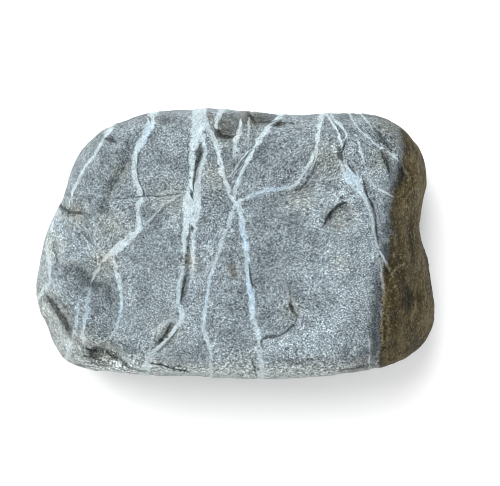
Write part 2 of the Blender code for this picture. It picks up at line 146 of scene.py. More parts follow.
# White veins, by their centre lines in the photograph's pixels. Veins that run close together are on
# different layers. widths and strength are spread evenly along the line, dip is how far the sheet leans, in
# pixels a millimetre down, and pinched how many millimetres down it ends.
veins = dict(
    outerLeft=dict(layer=0, strength=0.95, widths=(4, 3.4, 2.8, 3.4, 2.4), dip=0.5, pinched=5.0, line=[
        (120, 114), (113, 125), (103.5, 139), (95.5, 152), (86.5, 164), (80.5, 174), (76, 184.5), (72, 193),
        (69.5, 205)]),
    second=dict(layer=1, strength=(0.9, 1.0, 0.95, 0.9, 0.9, 1.0), widths=(9, 8, 7, 5.4, 6, 7, 7.4, 10),
                dip=-0.6, line=[
        (160, 102), (155, 110), (151, 117), (150, 127), (145, 136), (139.5, 145), (135.6, 153), (134, 164),
        (135.6, 177), (140, 188), (141, 196), (138.6, 207), (139.5, 215), (142, 222), (139, 229),
        (131.7, 236), (124, 243), (114, 251)]),
    secondDiagonal=dict(layer=2, strength=(0.9, 0.75, 0.7), widths=(4.5, 3.2, 2.6), dip=-0.4, line=[
        (115, 250), (106, 258), (101, 265), (96, 273), (92.5, 281)]),
    cornerVein=dict(layer=2, strength=(0.2, 0.4, 0.6, 0.95, 1.0), widths=(2, 2.6, 3.2, 4.6, 5.4), dip=-0.4,
                    line=[
        (91, 284), (83, 292), (79, 302), (77.4, 314), (75, 326), (71.4, 337), (69.4, 347), (67, 359)]),
    cornerSpare=dict(layer=1, strength=(0.3, 0.6, 0.7, 0.75, 0.95), widths=(3, 4.2, 4.2, 4, 3.2), dip=-0.3,
                     line=[
        (91, 287), (88.4, 296), (87.2, 309), (84.6, 321), (82.6, 331), (83.2, 341), (85.4, 351)]),
    secondDown=dict(layer=0, strength=(0.75, 0.9, 0.9, 0.8, 0.6, 0.75), widths=(4, 5.5, 4.5, 4, 3, 3),
                    dip=-0.5, line=[
        (116, 252), (115, 262), (115.6, 271), (118.6, 281), (121, 292), (121.8, 304), (121.3, 316),
        (117.6, 329), (111.6, 340), (109, 347)]),
    link=dict(layer=2, strength=(0.45, 0.75, 0.85), widths=(2, 2.2, 2.2, 2.8), dip=0.3, line=[
        (184, 192), (172, 198), (163, 206), (154, 215.6), (144, 225)]),
    mainTop=dict(layer=0, strength=1.0, widths=(17, 16, 14, 11, 6, 5, 5, 5), dip=0.35, line=[
        (200, 98), (199.4, 112), (198.6, 124), (196, 136), (192.6, 148), (191.4, 160), (191, 172),
        (190.6, 185)]),
    mainRight=dict(layer=1, strength=0.95, widths=(6, 5.5, 4.6, 4.6, 6), dip=0.35, line=[
        (202, 136), (203.4, 147), (203, 159), (200.6, 169), (199, 178), (199.4, 190)]),
    mainSeptum=dict(layer=2, strength=0.7, widths=(1.2, 1.8, 1.2), dip=0.3, line=[
        (196.6, 163), (197.6, 169), (195.6, 175)]),
    mainSolid=dict(layer=0, strength=1.0, widths=(10, 17, 19, 18, 15, 8), dip=0.35, line=[
        (193, 186), (192.6, 195), (192.4, 204), (191, 212), (189.6, 221), (186, 232)]),
    mainLeftStrand=dict(layer=0, strength=(0.95, 0.9, 0.85), widths=(7, 5, 4.5, 3), dip=0.3, line=[
        (186, 230), (184.4, 239), (185, 249), (184.6, 256)]),
    mainRightStrand=dict(layer=1, strength=(1.0, 1.0, 0.85, 0.7), widths=(9, 6, 5, 4.4, 4, 2.6), dip=0.4,
                         line=[
        (192, 222), (193.5, 234), (194, 242), (194, 250), (193.5, 258), (193, 267), (192.5, 274),
        (190.5, 284)]),
    lowerStrand=dict(layer=0, strength=(0.6, 0.8, 0.85, 0.95), widths=(3, 4.4, 4.4, 4, 5, 6), dip=0.3, line=[
        (183, 268), (181.5, 276), (179, 283), (178.6, 291), (179.5, 300), (181.8, 308), (182.4, 316)]),
    lowerDiagonal=dict(layer=0, strength=1.0, widths=(6, 4.4, 4, 4.4, 6, 9, 11), dip=0.5, line=[
        (182.4, 314), (181, 321), (177, 326), (173.7, 330.5), (168, 337.5), (161, 344.5), (155, 351),
        (150.5, 357), (147, 366), (143.5, 374), (141, 384)]),
    loop=dict(layer=1, strength=(0.7, 0.45, 0.5, 0.4, 0.6), widths=(3.4, 4, 3.4, 3, 3), dip=0.5, line=[
        (175, 320), (168, 321), (161, 325), (155, 330), (151.6, 337), (150, 344), (149, 352)]),
    loopBridge=dict(layer=2, strength=0.7, widths=(1.2, 1.8, 1.2), dip=0.5, line=[
        (158, 333), (162, 336.6), (165, 340)]),
    crossUpper=dict(layer=2, strength=(0.8, 0.95, 1.0, 1.0), widths=(3.4, 4.6, 5, 5, 4.8, 4.6, 4.6), dip=-0.2,
                    line=[
        (205.6, 118), (207.5, 127), (211, 133), (214, 141), (217, 149), (219.5, 159), (221.8, 169),
        (225, 178), (228, 187), (231, 195), (235, 203)]),
    crossLowerLeft=dict(layer=2, strength=(0.85, 0.65, 0.75, 0.8, 0.85, 0.9, 1.0),
                        widths=(4.4, 3.8, 3.6, 3.8, 3.8, 4, 4.2, 5), dip=-0.4, line=[
        (235.5, 203), (232, 213), (228.6, 223), (224.4, 234), (220.4, 246), (217.6, 255), (213.6, 265),
        (210.4, 276), (207.6, 287), (206, 298), (204.4, 308), (203, 318), (203.6, 327), (206, 337),
        (208.8, 346), (211, 355), (211, 366), (211, 386)]),
    crossLowerRight=dict(layer=0, strength=(0.95, 0.95, 1.0, 1.0, 1.0), widths=(5.4, 6, 6.2, 6.2, 6, 6.4),
                         dip=0.3, line=[
        (236, 202), (240, 210), (242, 224), (244.4, 238), (246.6, 252), (248.4, 265), (249.4, 277),
        (250.4, 290), (251.6, 302), (252.8, 316), (256, 330), (259.8, 338), (261, 345), (259.6, 353),
        (260, 362), (262, 376), (263, 388)]),
    crossKnot=dict(layer=1, strength=0.8, widths=(3, 6, 3), dip=0.0, line=[
        (231, 197), (235, 203), (239, 206)]),
    twin=dict(layer=1, strength=0.35, widths=(2, 2.4, 2), dip=0.0, line=[
        (216.6, 234), (214.4, 241), (211.6, 249)]),
    fan=dict(layer=0, strength=(0.85, 1.0, 0.95, 0.85), widths=(6.4, 6, 5.4, 4.6, 4, 3.6, 3.8), dip=0.4,
             line=[
        (288, 104), (283.4, 112), (279.4, 117.4), (272.4, 124), (266, 131.4), (260.4, 139), (255, 146.6),
        (250.6, 155), (246.4, 163.6), (241, 173), (237.4, 182.6), (235, 192), (234, 203)]),
    fanCompanion=dict(layer=1, strength=0.7, widths=(1.8, 2.2, 2.2, 1.8), dip=0.3, line=[
        (255, 147), (248.6, 152), (241.6, 160), (235.6, 169), (231, 176)]),
    shortTop=dict(layer=1, strength=(1.0, 0.9, 0.7), widths=(7, 6, 4.6, 3.6), dip=0.2, line=[
        (226, 104), (221.6, 111), (217.4, 118), (215.4, 125), (214.4, 130)]),
    shortMiddle=dict(layer=2, strength=(1.0, 1.0, 0.85, 0.7), widths=(4, 5, 5.6, 4, 3), dip=0.2, line=[
        (241, 122), (239.6, 131), (236.6, 138), (235, 146), (234, 158)]),
    shortFaint=dict(layer=1, strength=(0.75, 0.65, 0.5), widths=(2.4, 2.8, 2), dip=0.0, line=[
        (249.6, 120), (249.4, 128), (248.4, 138), (247.6, 146)]),
    boughLow=dict(layer=1, strength=(0.85, 0.8, 0.8, 0.9), widths=(4, 3.8, 3.6, 3.8, 4), dip=-0.5, line=[
        (235, 202), (243, 198), (251, 195.2), (260, 192.2), (269, 190), (278.7, 188.8), (287, 187.8),
        (294.6, 184.4), (300, 180)]),
    boughHigh=dict(layer=1, strength=(0.85, 0.95, 0.95, 0.95), widths=(3.6, 3.8, 3.8, 4.6, 5.4, 6.6, 8),
                   dip=-0.5, line=[
        (300, 180), (304.4, 172), (308.6, 165), (312.6, 158), (314.6, 150), (317, 142), (317.8, 134),
        (319, 127), (321, 119.6), (323.6, 112), (327, 102)]),
    boughFork=dict(layer=2, strength=(0.95, 0.9, 0.75), widths=(2.4, 2.8, 2.6, 2), dip=-0.5, line=[
        (317, 152), (315.4, 161), (313, 170), (310.4, 179)]),
    boughRuns=dict(layer=0, strength=(0.75, 0.6, 0.5), widths=(2.2, 2.2, 2), dip=0.0, line=[
        (303, 179), (309, 181), (318, 180.6), (330, 179.6), (341, 176)]),
    frayLeft=dict(layer=0, strength=(0.8, 1.0, 0.95), widths=(3, 4, 3.8, 3.2), dip=0.4, line=[
        (326, 113), (331, 120), (335.6, 127), (338.6, 135), (341.6, 145)]),
    frayRight=dict(layer=2, strength=(0.9, 1.0, 0.9), widths=(3, 4, 4, 3), dip=0.4, line=[
        (331, 115), (336.8, 121.4), (342.6, 127), (346.6, 134), (345.6, 143)]),
    frayLower=dict(layer=0, strength=(0.85, 1.0, 1.0, 0.9), widths=(4, 4.6, 5.4, 5.4, 5, 4.4), dip=0.4, line=[
        (341, 159), (341.6, 166), (344.4, 173), (349.6, 181), (356, 188), (362.5, 195)]),
    frayPatch=dict(layer=2, strength=(0.7, 1.0, 1.0), widths=(4, 8, 9, 5), dip=0.4, line=[
        (346, 164), (350.6, 172.4), (356.4, 180.6), (361.6, 188)]),
    frayThread=dict(layer=0, strength=(0.85, 0.6, 0.5, 0.5, 0.4), widths=(4, 3.4, 2.6, 2.4, 2.2, 1.8),
                    dip=0.4, line=[
        (363, 194), (367, 205.6), (370.4, 218), (373, 229), (376, 242), (378.4, 256), (380, 268),
        (381, 284)]),
    frayTwig=dict(layer=2, strength=0.95, widths=(2, 2.8, 2.6), dip=0.2, line=[
        (379.6, 252), (385, 263), (391, 275)]),
    rightLong=dict(layer=1, strength=(0.6, 0.75, 0.85, 0.9, 0.8), widths=(2.6, 2.4, 2.6, 2.8, 3.4, 3, 2.4),
                   dip=0.7, line=[
        (348, 111), (353.6, 121.4), (359.6, 130.4), (366, 136), (372.6, 141.6), (379, 147), (388.6, 151.8),
        (396, 156.6), (401, 162), (405, 169), (409, 179)]),
    rightShort=dict(layer=2, strength=(0.8, 0.8, 0.7), widths=(2.6, 2.4, 2.4, 2), dip=0.7, line=[
        (355, 106), (361, 115), (366.6, 122), (372, 128.6), (377.4, 136), (381, 144)]),
    rightThread=dict(layer=0, strength=(0.7, 0.9, 0.7), widths=(1.8, 2.4, 2), dip=0.3, line=[
        (357, 141.6), (360.4, 152), (364, 163)]),
    rightHook=dict(layer=2, strength=(0.6, 0.85, 0.9, 0.8), widths=(2, 2.4, 2.6, 2.4), dip=0.3, line=[
        (365.4, 168), (368, 178), (374, 185), (380.6, 190), (387, 193.6), (393, 196.6)]),
    leftEdge=dict(layer=0, strength=(0.6, 0.75, 0.85, 1.0, 0.9), widths=(2.4, 3.4, 3.4, 4, 5, 4), dip=0.8,
                  pinched=4.0, line=[
        (46.6, 244), (48.6, 256), (49.6, 268), (49.4, 279), (46, 287), (41.6, 293), (37, 301)]),
    leftThread=dict(layer=2, strength=0.4, widths=(1.4, 1.8, 1.4), dip=0.2, line=[
        (63.4, 246), (60.6, 258), (59.4, 264)]),
    leftRidgeLight=dict(layer=1, strength=0.45, widths=(1.4, 2, 1.6), dip=0.2, line=[
        (86, 229), (91, 234.6), (95, 241), (101.6, 251), (107, 257)]),
    footThreadOne=dict(layer=1, strength=0.6, widths=(1.6, 2.2, 2), dip=0.0, line=[
        (339.5, 354), (338, 366), (336, 378)]),
    footThreadTwo=dict(layer=0, strength=0.5, widths=(1.6, 2.2, 2), dip=0.0, line=[
        (368, 338), (369.3, 350), (370, 368)]),
    flankKnot=dict(layer=1, strength=1.0, widths=(2.8, 4, 2.8), dip=0.0, line=[
        (391, 274), (397, 268), (403, 265)]),
    flankTick=dict(layer=0, strength=0.7, widths=(1.6, 2.6, 1.8), dip=0.0, line=[
        (410, 192), (414, 189), (419, 188)]),
    flankTwig=dict(layer=1, strength=0.7, widths=(1.6, 2.2, 1.6), dip=0.0, line=[
        (424, 262), (420, 268), (414, 272)]),
)

# Dark cracks and nicks, in the same way: depth in millimetres, darkness of dirt and painted shade from 0 to
# 1.
cracks = dict(
    mainCleft=dict(layer=0, depth=1.0, dirtAndShade=(0.9, 0.9, 1.0, 1.0), widths=(1.6, 4.6, 4.4, 3, 2, 2.6, 1.6),
                   line=[
        (200.6, 144), (199.6, 151), (198, 158), (196.4, 164), (194.6, 172), (193.6, 180), (193.4, 189)]),
    mainBlotch=dict(layer=1, depth=0.5, dirtAndShade=1.0, widths=(1.6, 4, 1.6), line=[
        (190.4, 190), (191.6, 194), (193, 198)]),
    mainSeam=dict(layer=1, depth=0.3, dirtAndShade=0.75, widths=(1, 1.6, 2.2, 2, 1.4), line=[
        (190, 223), (189.6, 229), (188.8, 236), (189.2, 244), (188.4, 252)]),
    mainSide=dict(layer=1, depth=0.2, dirtAndShade=0.6, widths=(1, 1.6, 1.4, 1), line=[
        (189.4, 134), (187.6, 146), (187.4, 160), (188, 174)]),
    lowerCleft=dict(layer=0, depth=0.9, dirtAndShade=1.0, widths=(1.5, 2.8, 3.2, 2.8, 1.5), line=[
        (185.8, 275), (184, 284), (182.8, 293), (181.2, 303)]),
    loopCleft=dict(layer=1, depth=0.6, dirtAndShade=(0.7, 0.95, 0.8, 0.6), widths=(1.6, 4, 3.4, 2.6, 1.6), line=[
        (170, 324), (166.6, 330), (162.6, 338), (158, 344), (153, 348)]),
    loopUnder=dict(layer=0, depth=0.3, dirtAndShade=0.6, widths=(1, 1.8, 1.8, 1), line=[
        (178, 330), (171, 339), (164, 347), (157, 353)]),
    hairline=dict(layer=0, depth=0.14, dirtAndShade=(0.5, 0.7, 0.9, 0.6), widths=(1, 1.3, 1.2, 2, 1.2), line=[
        (107, 198), (122, 198.6), (137, 197.4), (146, 195.5), (160, 195), (184, 193)]),
    linkShade=dict(layer=1, depth=0.2, dirtAndShade=0.5, widths=(1, 1.6, 1.6, 1), line=[
        (182, 195), (171, 201.5), (157, 216.5), (147, 227)]),
    secondSeam=dict(layer=0, depth=0.25, dirtAndShade=0.8, widths=(1.2, 1.8, 1.5, 1.8, 1.5, 1), line=[
        (140.4, 151), (138.4, 159), (137.4, 168), (139, 179), (143, 189), (144.6, 196)]),
    secondInner=dict(layer=1, depth=0.2, dirtAndShade=0.8, widths=(1, 1.4, 1.6, 1.4, 1), line=[
        (141.6, 204), (139.8, 211), (142, 218), (143.4, 224)]),
    secondPit=dict(layer=1, depth=0.4, dirtAndShade=0.85, widths=(1.6, 2.6, 1.6), line=[
        (149, 117), (150, 119), (150.4, 121)]),
    crossCrack=dict(layer=1, depth=0.35, dirtAndShade=1.0, widths=(1.6, 2.6, 2.4, 1.4), line=[
        (249.6, 265), (251, 275), (252.6, 287)]),
    fanSide=dict(layer=0, depth=0.2, dirtAndShade=0.75, widths=(1, 1.6, 1.6, 1.4), line=[
        (252.4, 150), (246.4, 156), (240.6, 163), (237, 169.6)]),
    frayCrack=dict(layer=0, depth=0.7, dirtAndShade=1.0, widths=(1.4, 3, 2), line=[
        (345.8, 141), (344.4, 146), (342.8, 151)]),
    frayPit=dict(layer=1, depth=0.7, dirtAndShade=0.95, widths=(3, 5, 4, 2), line=[
        (338.6, 149), (339.6, 153), (341, 157), (342, 161)]),
    fraySeam=dict(layer=1, depth=0.3, dirtAndShade=0.85, widths=(1.4, 2, 1.2), line=[
        (348, 163), (351.4, 168), (354.6, 173)]),
    fraySide=dict(layer=1, depth=0.25, dirtAndShade=0.7, widths=(1, 1.8, 1.4), line=[
        (333, 121.6), (338, 128), (341.6, 136)]),
    lensCrack=dict(layer=0, depth=0.7, dirtAndShade=1.0, widths=(1.2, 2.8, 2.8, 1.4), line=[
        (363, 177), (365, 184), (367.8, 193.6)]),
    lensThread=dict(layer=1, depth=0.3, dirtAndShade=1.0, widths=(1.6, 3, 2.6, 2.4, 1.8), line=[
        (369, 198), (372.4, 208), (374.4, 219), (376.6, 230), (378.4, 242)]),
    rightGroove=dict(layer=1, depth=0.7, dirtAndShade=(0.7, 1.0, 1.0, 0.9), widths=(2, 5, 5.6, 4, 2.4), line=[
        (372, 127.5), (377, 134), (381.6, 139), (386.6, 144), (391, 149.4)]),
    rightCleft=dict(layer=0, depth=0.8, dirtAndShade=1.0, widths=(1.8, 3.6, 4.2, 3.4, 1.8), line=[
        (382, 151), (384, 157), (386.4, 163), (389.6, 172)]),
    crescent=dict(layer=0, depth=0.5, dirtAndShade=1.0, widths=(2.4, 3.4, 3.2, 3.6, 3.4, 2.4), line=[
        (325.2, 222.6), (327, 217), (330.4, 212), (334.6, 207.8), (339.6, 204.2), (345, 203.2)]),
    crescentTail=dict(layer=1, depth=0.15, dirtAndShade=0.5, widths=(1, 1.8, 1), line=[
        (325, 224), (319, 229), (311, 234)]),
    boughCrack=dict(layer=1, depth=0.4, dirtAndShade=0.95, widths=(1.4, 2.8, 2.8, 1.6), line=[
        (316.6, 160), (314.4, 168), (311, 176), (306, 183)]),
    boughShade=dict(layer=0, depth=0.35, dirtAndShade=0.55, widths=(1.6, 4, 4, 1.8), line=[
        (296, 190), (301, 187.6), (306, 184), (309.4, 178)]),
    lowerWanderer=dict(layer=0, depth=0.3, dirtAndShade=(0.6, 0.7, 0.8, 0.8, 0.85, 0.95),
                       widths=(1.2, 1.8, 2.2, 2, 2, 2.2, 3, 3.2, 2), line=[
        (285, 277), (288.4, 284), (291, 294), (290.5, 305), (293.7, 312), (297.2, 317.4), (294, 324),
        (287, 330.6), (281, 334), (273, 336), (266, 339), (261.6, 342.4), (263.4, 348)]),
    wandererPit=dict(layer=1, depth=0.6, dirtAndShade=1.0, widths=(2.4, 4.6, 2.4), line=[
        (290.3, 304.6), (290.8, 308), (292, 312)]),
    leftNick=dict(layer=0, depth=0.5, dirtAndShade=(1.0, 0.9, 0.7, 0.5), widths=(3, 4.4, 3, 2.4, 1.4), line=[
        (63, 208), (68, 211.6), (74, 213.6), (80, 212.8), (89, 215.6)]),
    leftNickEnd=dict(layer=1, depth=0.5, dirtAndShade=0.95, widths=(2, 3.6, 2), line=[
        (60, 205), (62, 208), (62.6, 212)]),
    creaseLine=dict(layer=1, depth=0.3, dirtAndShade=(0.5, 0.6, 0.7, 0.75, 0.5), widths=(1, 1.6, 2, 1.8, 2, 1), line=[
        (124.6, 160), (121.6, 170), (116.6, 180), (111.6, 188), (109.6, 198), (107.5, 206)]),
    creaseSpot=dict(layer=0, depth=0.3, dirtAndShade=0.8, widths=(3, 6, 3), line=[
        (106, 139), (111, 140), (115, 142)]),
    leftScratch=dict(layer=1, depth=0.2, dirtAndShade=0.55, widths=(1, 2, 2.4, 1.4), line=[
        (82, 233), (86, 236), (90, 240), (95, 246)]),
    leftStrokeOne=dict(layer=0, depth=0.2, dirtAndShade=0.7, widths=(1, 1.8, 1.2), line=[
        (52.6, 242), (55, 252), (56.6, 262)]),
    topNickOne=dict(layer=0, depth=0.5, dirtAndShade=0.9, widths=(2.6, 4, 3.4, 2), line=[
        (247, 111), (250, 115), (253.4, 119.6), (255, 123)]),
    topNickTwo=dict(layer=1, depth=0.35, dirtAndShade=0.8, widths=(1.2, 2, 2, 1.2), line=[
        (253, 122.6), (262, 123), (271, 122.6), (276, 121)]),
    topNickThree=dict(layer=0, depth=0.5, dirtAndShade=1.0, widths=(3, 5, 3), line=[
        (273, 125.4), (278.6, 125), (284, 123.6)]),
    topSpeck=dict(layer=1, depth=0.3, dirtAndShade=0.8, widths=(1.4, 2.4, 1.4), line=[
        (286, 122.6), (289, 123.6), (292, 124)]),
    topRecessLip=dict(layer=0, depth=0.45, dirtAndShade=0.9, widths=(2.4, 5.4, 4, 2.6, 1.6), line=[
        (214.6, 130.4), (218, 135), (224, 137.6), (231, 137), (237, 135)]),
    topRecessSide=dict(layer=1, depth=0.3, dirtAndShade=0.7, widths=(1.6, 2.6, 1.6), line=[
        (213.6, 127), (214.6, 133), (215.6, 138)]),
    footLine=dict(layer=0, depth=0.35, dirtAndShade=0.95, widths=(1, 2.4, 2.2, 1.4), line=[
        (150, 363), (164, 366.5), (176, 369.5), (188, 371.4)]),
    footMarks=dict(layer=1, depth=0.3, dirtAndShade=0.85, widths=(1, 2, 2, 1), line=[
        (251, 360), (253, 366), (254.6, 371), (257, 376)]),
    footRight=dict(layer=0, depth=0.35, dirtAndShade=0.75, widths=(1, 1.8, 2, 1.2), line=[
        (340, 372), (350, 369.4), (360, 367), (370, 363.6)]),
    recessOne=dict(layer=0, depth=0.5, dirtAndShade=1.0, widths=(2, 4, 2), line=[
        (86, 348.4), (90, 349.4), (95, 351)]),
    recessTwo=dict(layer=0, depth=0.5, dirtAndShade=0.9, widths=(2, 4.4, 3, 2), line=[
        (84, 357), (90, 356), (96, 357.6), (100, 360)]),
    recessThree=dict(layer=0, depth=0.5, dirtAndShade=1.0, widths=(2, 4, 3), line=[
        (105, 351.6), (110, 355), (115, 360)]),
    recessFour=dict(layer=1, depth=0.4, dirtAndShade=0.9, widths=(1.4, 3, 1.6), line=[
        (97, 347), (102, 350), (104, 355)]),
    recessFive=dict(layer=1, depth=0.4, dirtAndShade=0.8, widths=(1.6, 3, 1.6), line=[
        (92, 362), (99, 364.6), (106, 365)]),
    recessSix=dict(layer=1, depth=0.4, dirtAndShade=0.9, widths=(1.6, 3.4, 2), line=[
        (118, 360), (123, 364), (128, 368)]),
    footLeft=dict(layer=1, depth=0.3, dirtAndShade=0.7, widths=(1.4, 2.4, 1.4), line=[
        (73, 365.4), (78, 366), (84, 366.4)]),
    cornerBand=dict(layer=0, depth=0.6, dirtAndShade=(0.7, 0.85, 0.8, 0.85, 0.5), widths=(2, 5, 6.6, 6.4, 5, 2.4),
                    line=[
        (46.6, 295), (52.6, 302.6), (58.6, 311.4), (64, 320.6), (69.4, 330.6), (71.4, 339)]),
    bottomRecess=dict(layer=1, depth=0.4, dirtAndShade=(0.4, 0.5, 0.4, 0.35), widths=(4, 8, 9, 6, 3), line=[
        (84, 349), (91, 352.4), (99, 354), (107, 356), (117, 361)]),
    ledgeLine=dict(layer=0, depth=0.25, dirtAndShade=0.7, widths=(1, 2, 2, 2, 1), line=[
        (84, 345.6), (92, 347), (102, 348.6), (112, 352), (121, 361), (131, 367.6), (146, 371)]),
    strandDot=dict(layer=0, depth=0.5, dirtAndShade=0.95, widths=(1.6, 2.6, 1.6), line=[
        (192, 225.6), (192, 227.6), (192, 229.6)]),
    strandPatch=dict(layer=1, depth=0.4, dirtAndShade=0.7, widths=(3, 5, 3), line=[
        (187.6, 255.6), (187.7, 260), (187.6, 266)]),
    strandTail=dict(layer=0, depth=0.2, dirtAndShade=0.6, widths=(1, 1.8, 1.2), line=[
        (188.6, 262), (188, 270), (187, 277)]),
    branchPits=dict(layer=1, depth=0.4, dirtAndShade=0.8, widths=(1.8, 3, 1.8), line=[
        (115.4, 256.6), (116.4, 259), (116.6, 261.4)]),
    footPits=dict(layer=1, depth=0.3, dirtAndShade=(0.7, 0.1, 0.9, 0.1, 0.8, 0.1, 0.6),
                  widths=(2, 3, 2, 3.4, 2, 3, 2), line=[
        (288, 366), (294, 363.6), (301, 362), (309, 359), (316, 357.6), (322, 355)]),
    flankRecess=dict(layer=0, depth=0.7, dirtAndShade=0.8, widths=(2, 4.6, 4.4, 2), line=[
        (400, 158), (401.4, 167), (401.6, 176), (400, 187)]),
    flankHollow=dict(layer=1, depth=0.6, dirtAndShade=0.6, widths=(2.4, 7, 8, 5, 2.4), line=[
        (405, 282), (407, 291), (408, 300), (407.4, 308), (405, 316)]),
    flankStreakOne=dict(layer=0, depth=0.35, dirtAndShade=0.55, widths=(1.6, 3, 3.4, 3, 1.6), line=[
        (397, 214), (398.6, 232), (397.6, 250), (396, 268), (396, 284)]),
    flankStreakTwo=dict(layer=1, depth=0.35, dirtAndShade=0.5, widths=(1.6, 3, 3, 1.6), line=[
        (410, 214), (409, 232), (411, 250), (413, 268)]),
    flankStreakThree=dict(layer=0, depth=0.3, dirtAndShade=0.5, widths=(1.6, 3, 3, 1.6), line=[
        (394, 300), (393, 318), (392, 336), (390, 352)]),
)

# Patches, each by its column, row and radius in pixels and its strength: rust spots, warm dull stains,
# stretches where the veins are bluer, and places where the surface crumbles into a coarser grain.
stains = dict(
    rust=[
        (338, 225, 3.6, 0.6), (230.6, 266.6, 3.4, 1.0), (232.8, 270.4, 3.8, 1.2), (235, 274.4, 3.6, 1.1),
        (187.7, 260, 4.5, 0.5), (169, 328, 4.0, 0.45), (74, 209, 5.0, 0.4), (210, 117, 5.0, 0.55),
        (249, 119, 4.0, 0.5), (278, 125, 3.0, 0.5),
    ],
    warm=[
        (340, 216, 12.0, 0.6), (226, 130, 14.0, 0.9), (100, 356, 18.0, 0.8), (252, 117, 14.0, 0.8),
        (58, 316, 12.0, 0.6), (104, 262, 12.0, 0.9), (112, 226, 18.0, 0.5), (120, 172, 10.0, 0.6),
        (168, 198, 16.0, 0.5), (216, 176, 14.0, 0.6), (326, 160, 16.0, 0.7), (300, 196, 14.0, 0.6),
        (382, 160, 12.0, 0.6), (165, 333, 14.0, 0.5), (76, 213, 11.0, 0.8), (192, 262, 9.0, 0.7),
        (292, 312, 9.0, 0.6), (240, 374, 20.0, 0.5), (342, 262, 9.0, 0.5), (390, 121, 14.0, 0.9),
        (404, 138, 12.0, 0.9), (52, 246, 14.0, 0.6), (44, 300, 14.0, 0.6), (58, 338, 16.0, 0.6),
        (82, 342, 14.0, 0.7),
    ],
    bluer=[
        (242, 236, 22.0, 0.65), (250, 290, 26.0, 0.7), (272, 190, 22.0, 0.8), (84, 312, 22.0, 0.5),
        (120, 318, 16.0, 0.6), (206, 300, 24.0, 0.6), (147, 132, 10.0, 0.5), (350, 178, 14.0, 0.5),
    ],
    crumbly=[
        (97, 355, 20.0, 1.9), (58, 314, 14.0, 1.6), (77, 354, 12.0, 1.5), (302, 364, 22.0, 1.0),
        (345, 362, 24.0, 0.9), (240, 370, 20.0, 0.8), (306, 184, 10.0, 0.9), (338, 152, 8.0, 0.8),
        (294, 308, 9.0, 0.8), (188, 258, 8.0, 0.7), (74, 211, 9.0, 0.7), (104, 262, 11.0, 0.7),
        (66, 272, 9.0, 0.6), (340, 216, 9.0, 0.4), (366, 218, 7.0, 0.4), (378, 286, 12.0, 0.6),
        (284, 120, 12.0, 0.6), (84, 242, 12.0, 0.6),
    ],
)

# Slow differences over the face, partly its own tone and partly painted light and shade, each by its column
# and row, its radii across and down, all in pixels, and the share by which it lightens the face.
paintedLightAndTones = [
    (342, 285, 46, 62, 0.34), (348, 208, 26, 20, 0.36), (300, 346, 56, 20, 0.60), (276, 268, 26, 52, -0.19),
    (110, 172, 40, 34, -0.08), (168, 150, 22, 40, -0.10), (218, 176, 14, 28, -0.10),
    (276, 156, 30, 24, -0.16), (152, 262, 26, 44, -0.08), (54, 240, 10, 24, 0.95), (49, 322, 9, 26, 0.80),
    (229, 120, 17, 9, -0.46), (226, 132, 12, 6, -0.40), (264, 118, 16, 7, -0.48), (306, 116, 34, 8, -0.20),
    (140, 118, 36, 8, -0.22), (164, 119, 9, 7, -0.26), (110, 139, 5, 4, -0.34), (86, 234, 5, 4, -0.30),
    (88, 300, 26, 38, 0.06), (60, 340, 14, 16, 0.42), (240, 366, 150, 6, 0.14), (92, 356, 12, 8, -0.10),
    (109, 352, 12, 6, 0.50), (125, 368, 28, 5, 0.36), (75, 251, 18, 14, 0.28), (54, 303, 8, 9, 0.22),
    (247, 120, 18, 8, -0.22), (306, 361, 20, 6, -0.42), (240, 371, 90, 5, 0.16), (96, 330, 14, 26, -0.06),
    (408, 185, 16, 52, 0.36), (404, 340, 22, 30, -0.12), (407, 300, 8, 20, -0.36), (112, 350, 46, 24, 0.20),
    (126, 361, 26, 10, 0.62), (146, 344, 20, 18, 0.14), (119, 292, 18, 28, 0.34), (198, 260, 20, 110, 0.17),
    (124, 202, 20, 20, 0.16), (72, 214, 14, 10, 0.22), (359, 322, 17, 46, -0.40), (358, 366, 24, 14, -0.58),
    (266, 160, 14, 52, -0.10), (338, 164, 16, 20, 0.24), (300, 312, 14, 16, 0.18), (430, 298, 9, 26, 0.30),
    (408, 364, 16, 10, 0.22), (166, 192, 14, 14, 0.28), (214, 190, 11, 13, 0.22), (333, 322, 13, 20, 0.18),
    (384, 334, 10, 18, -0.24),
]

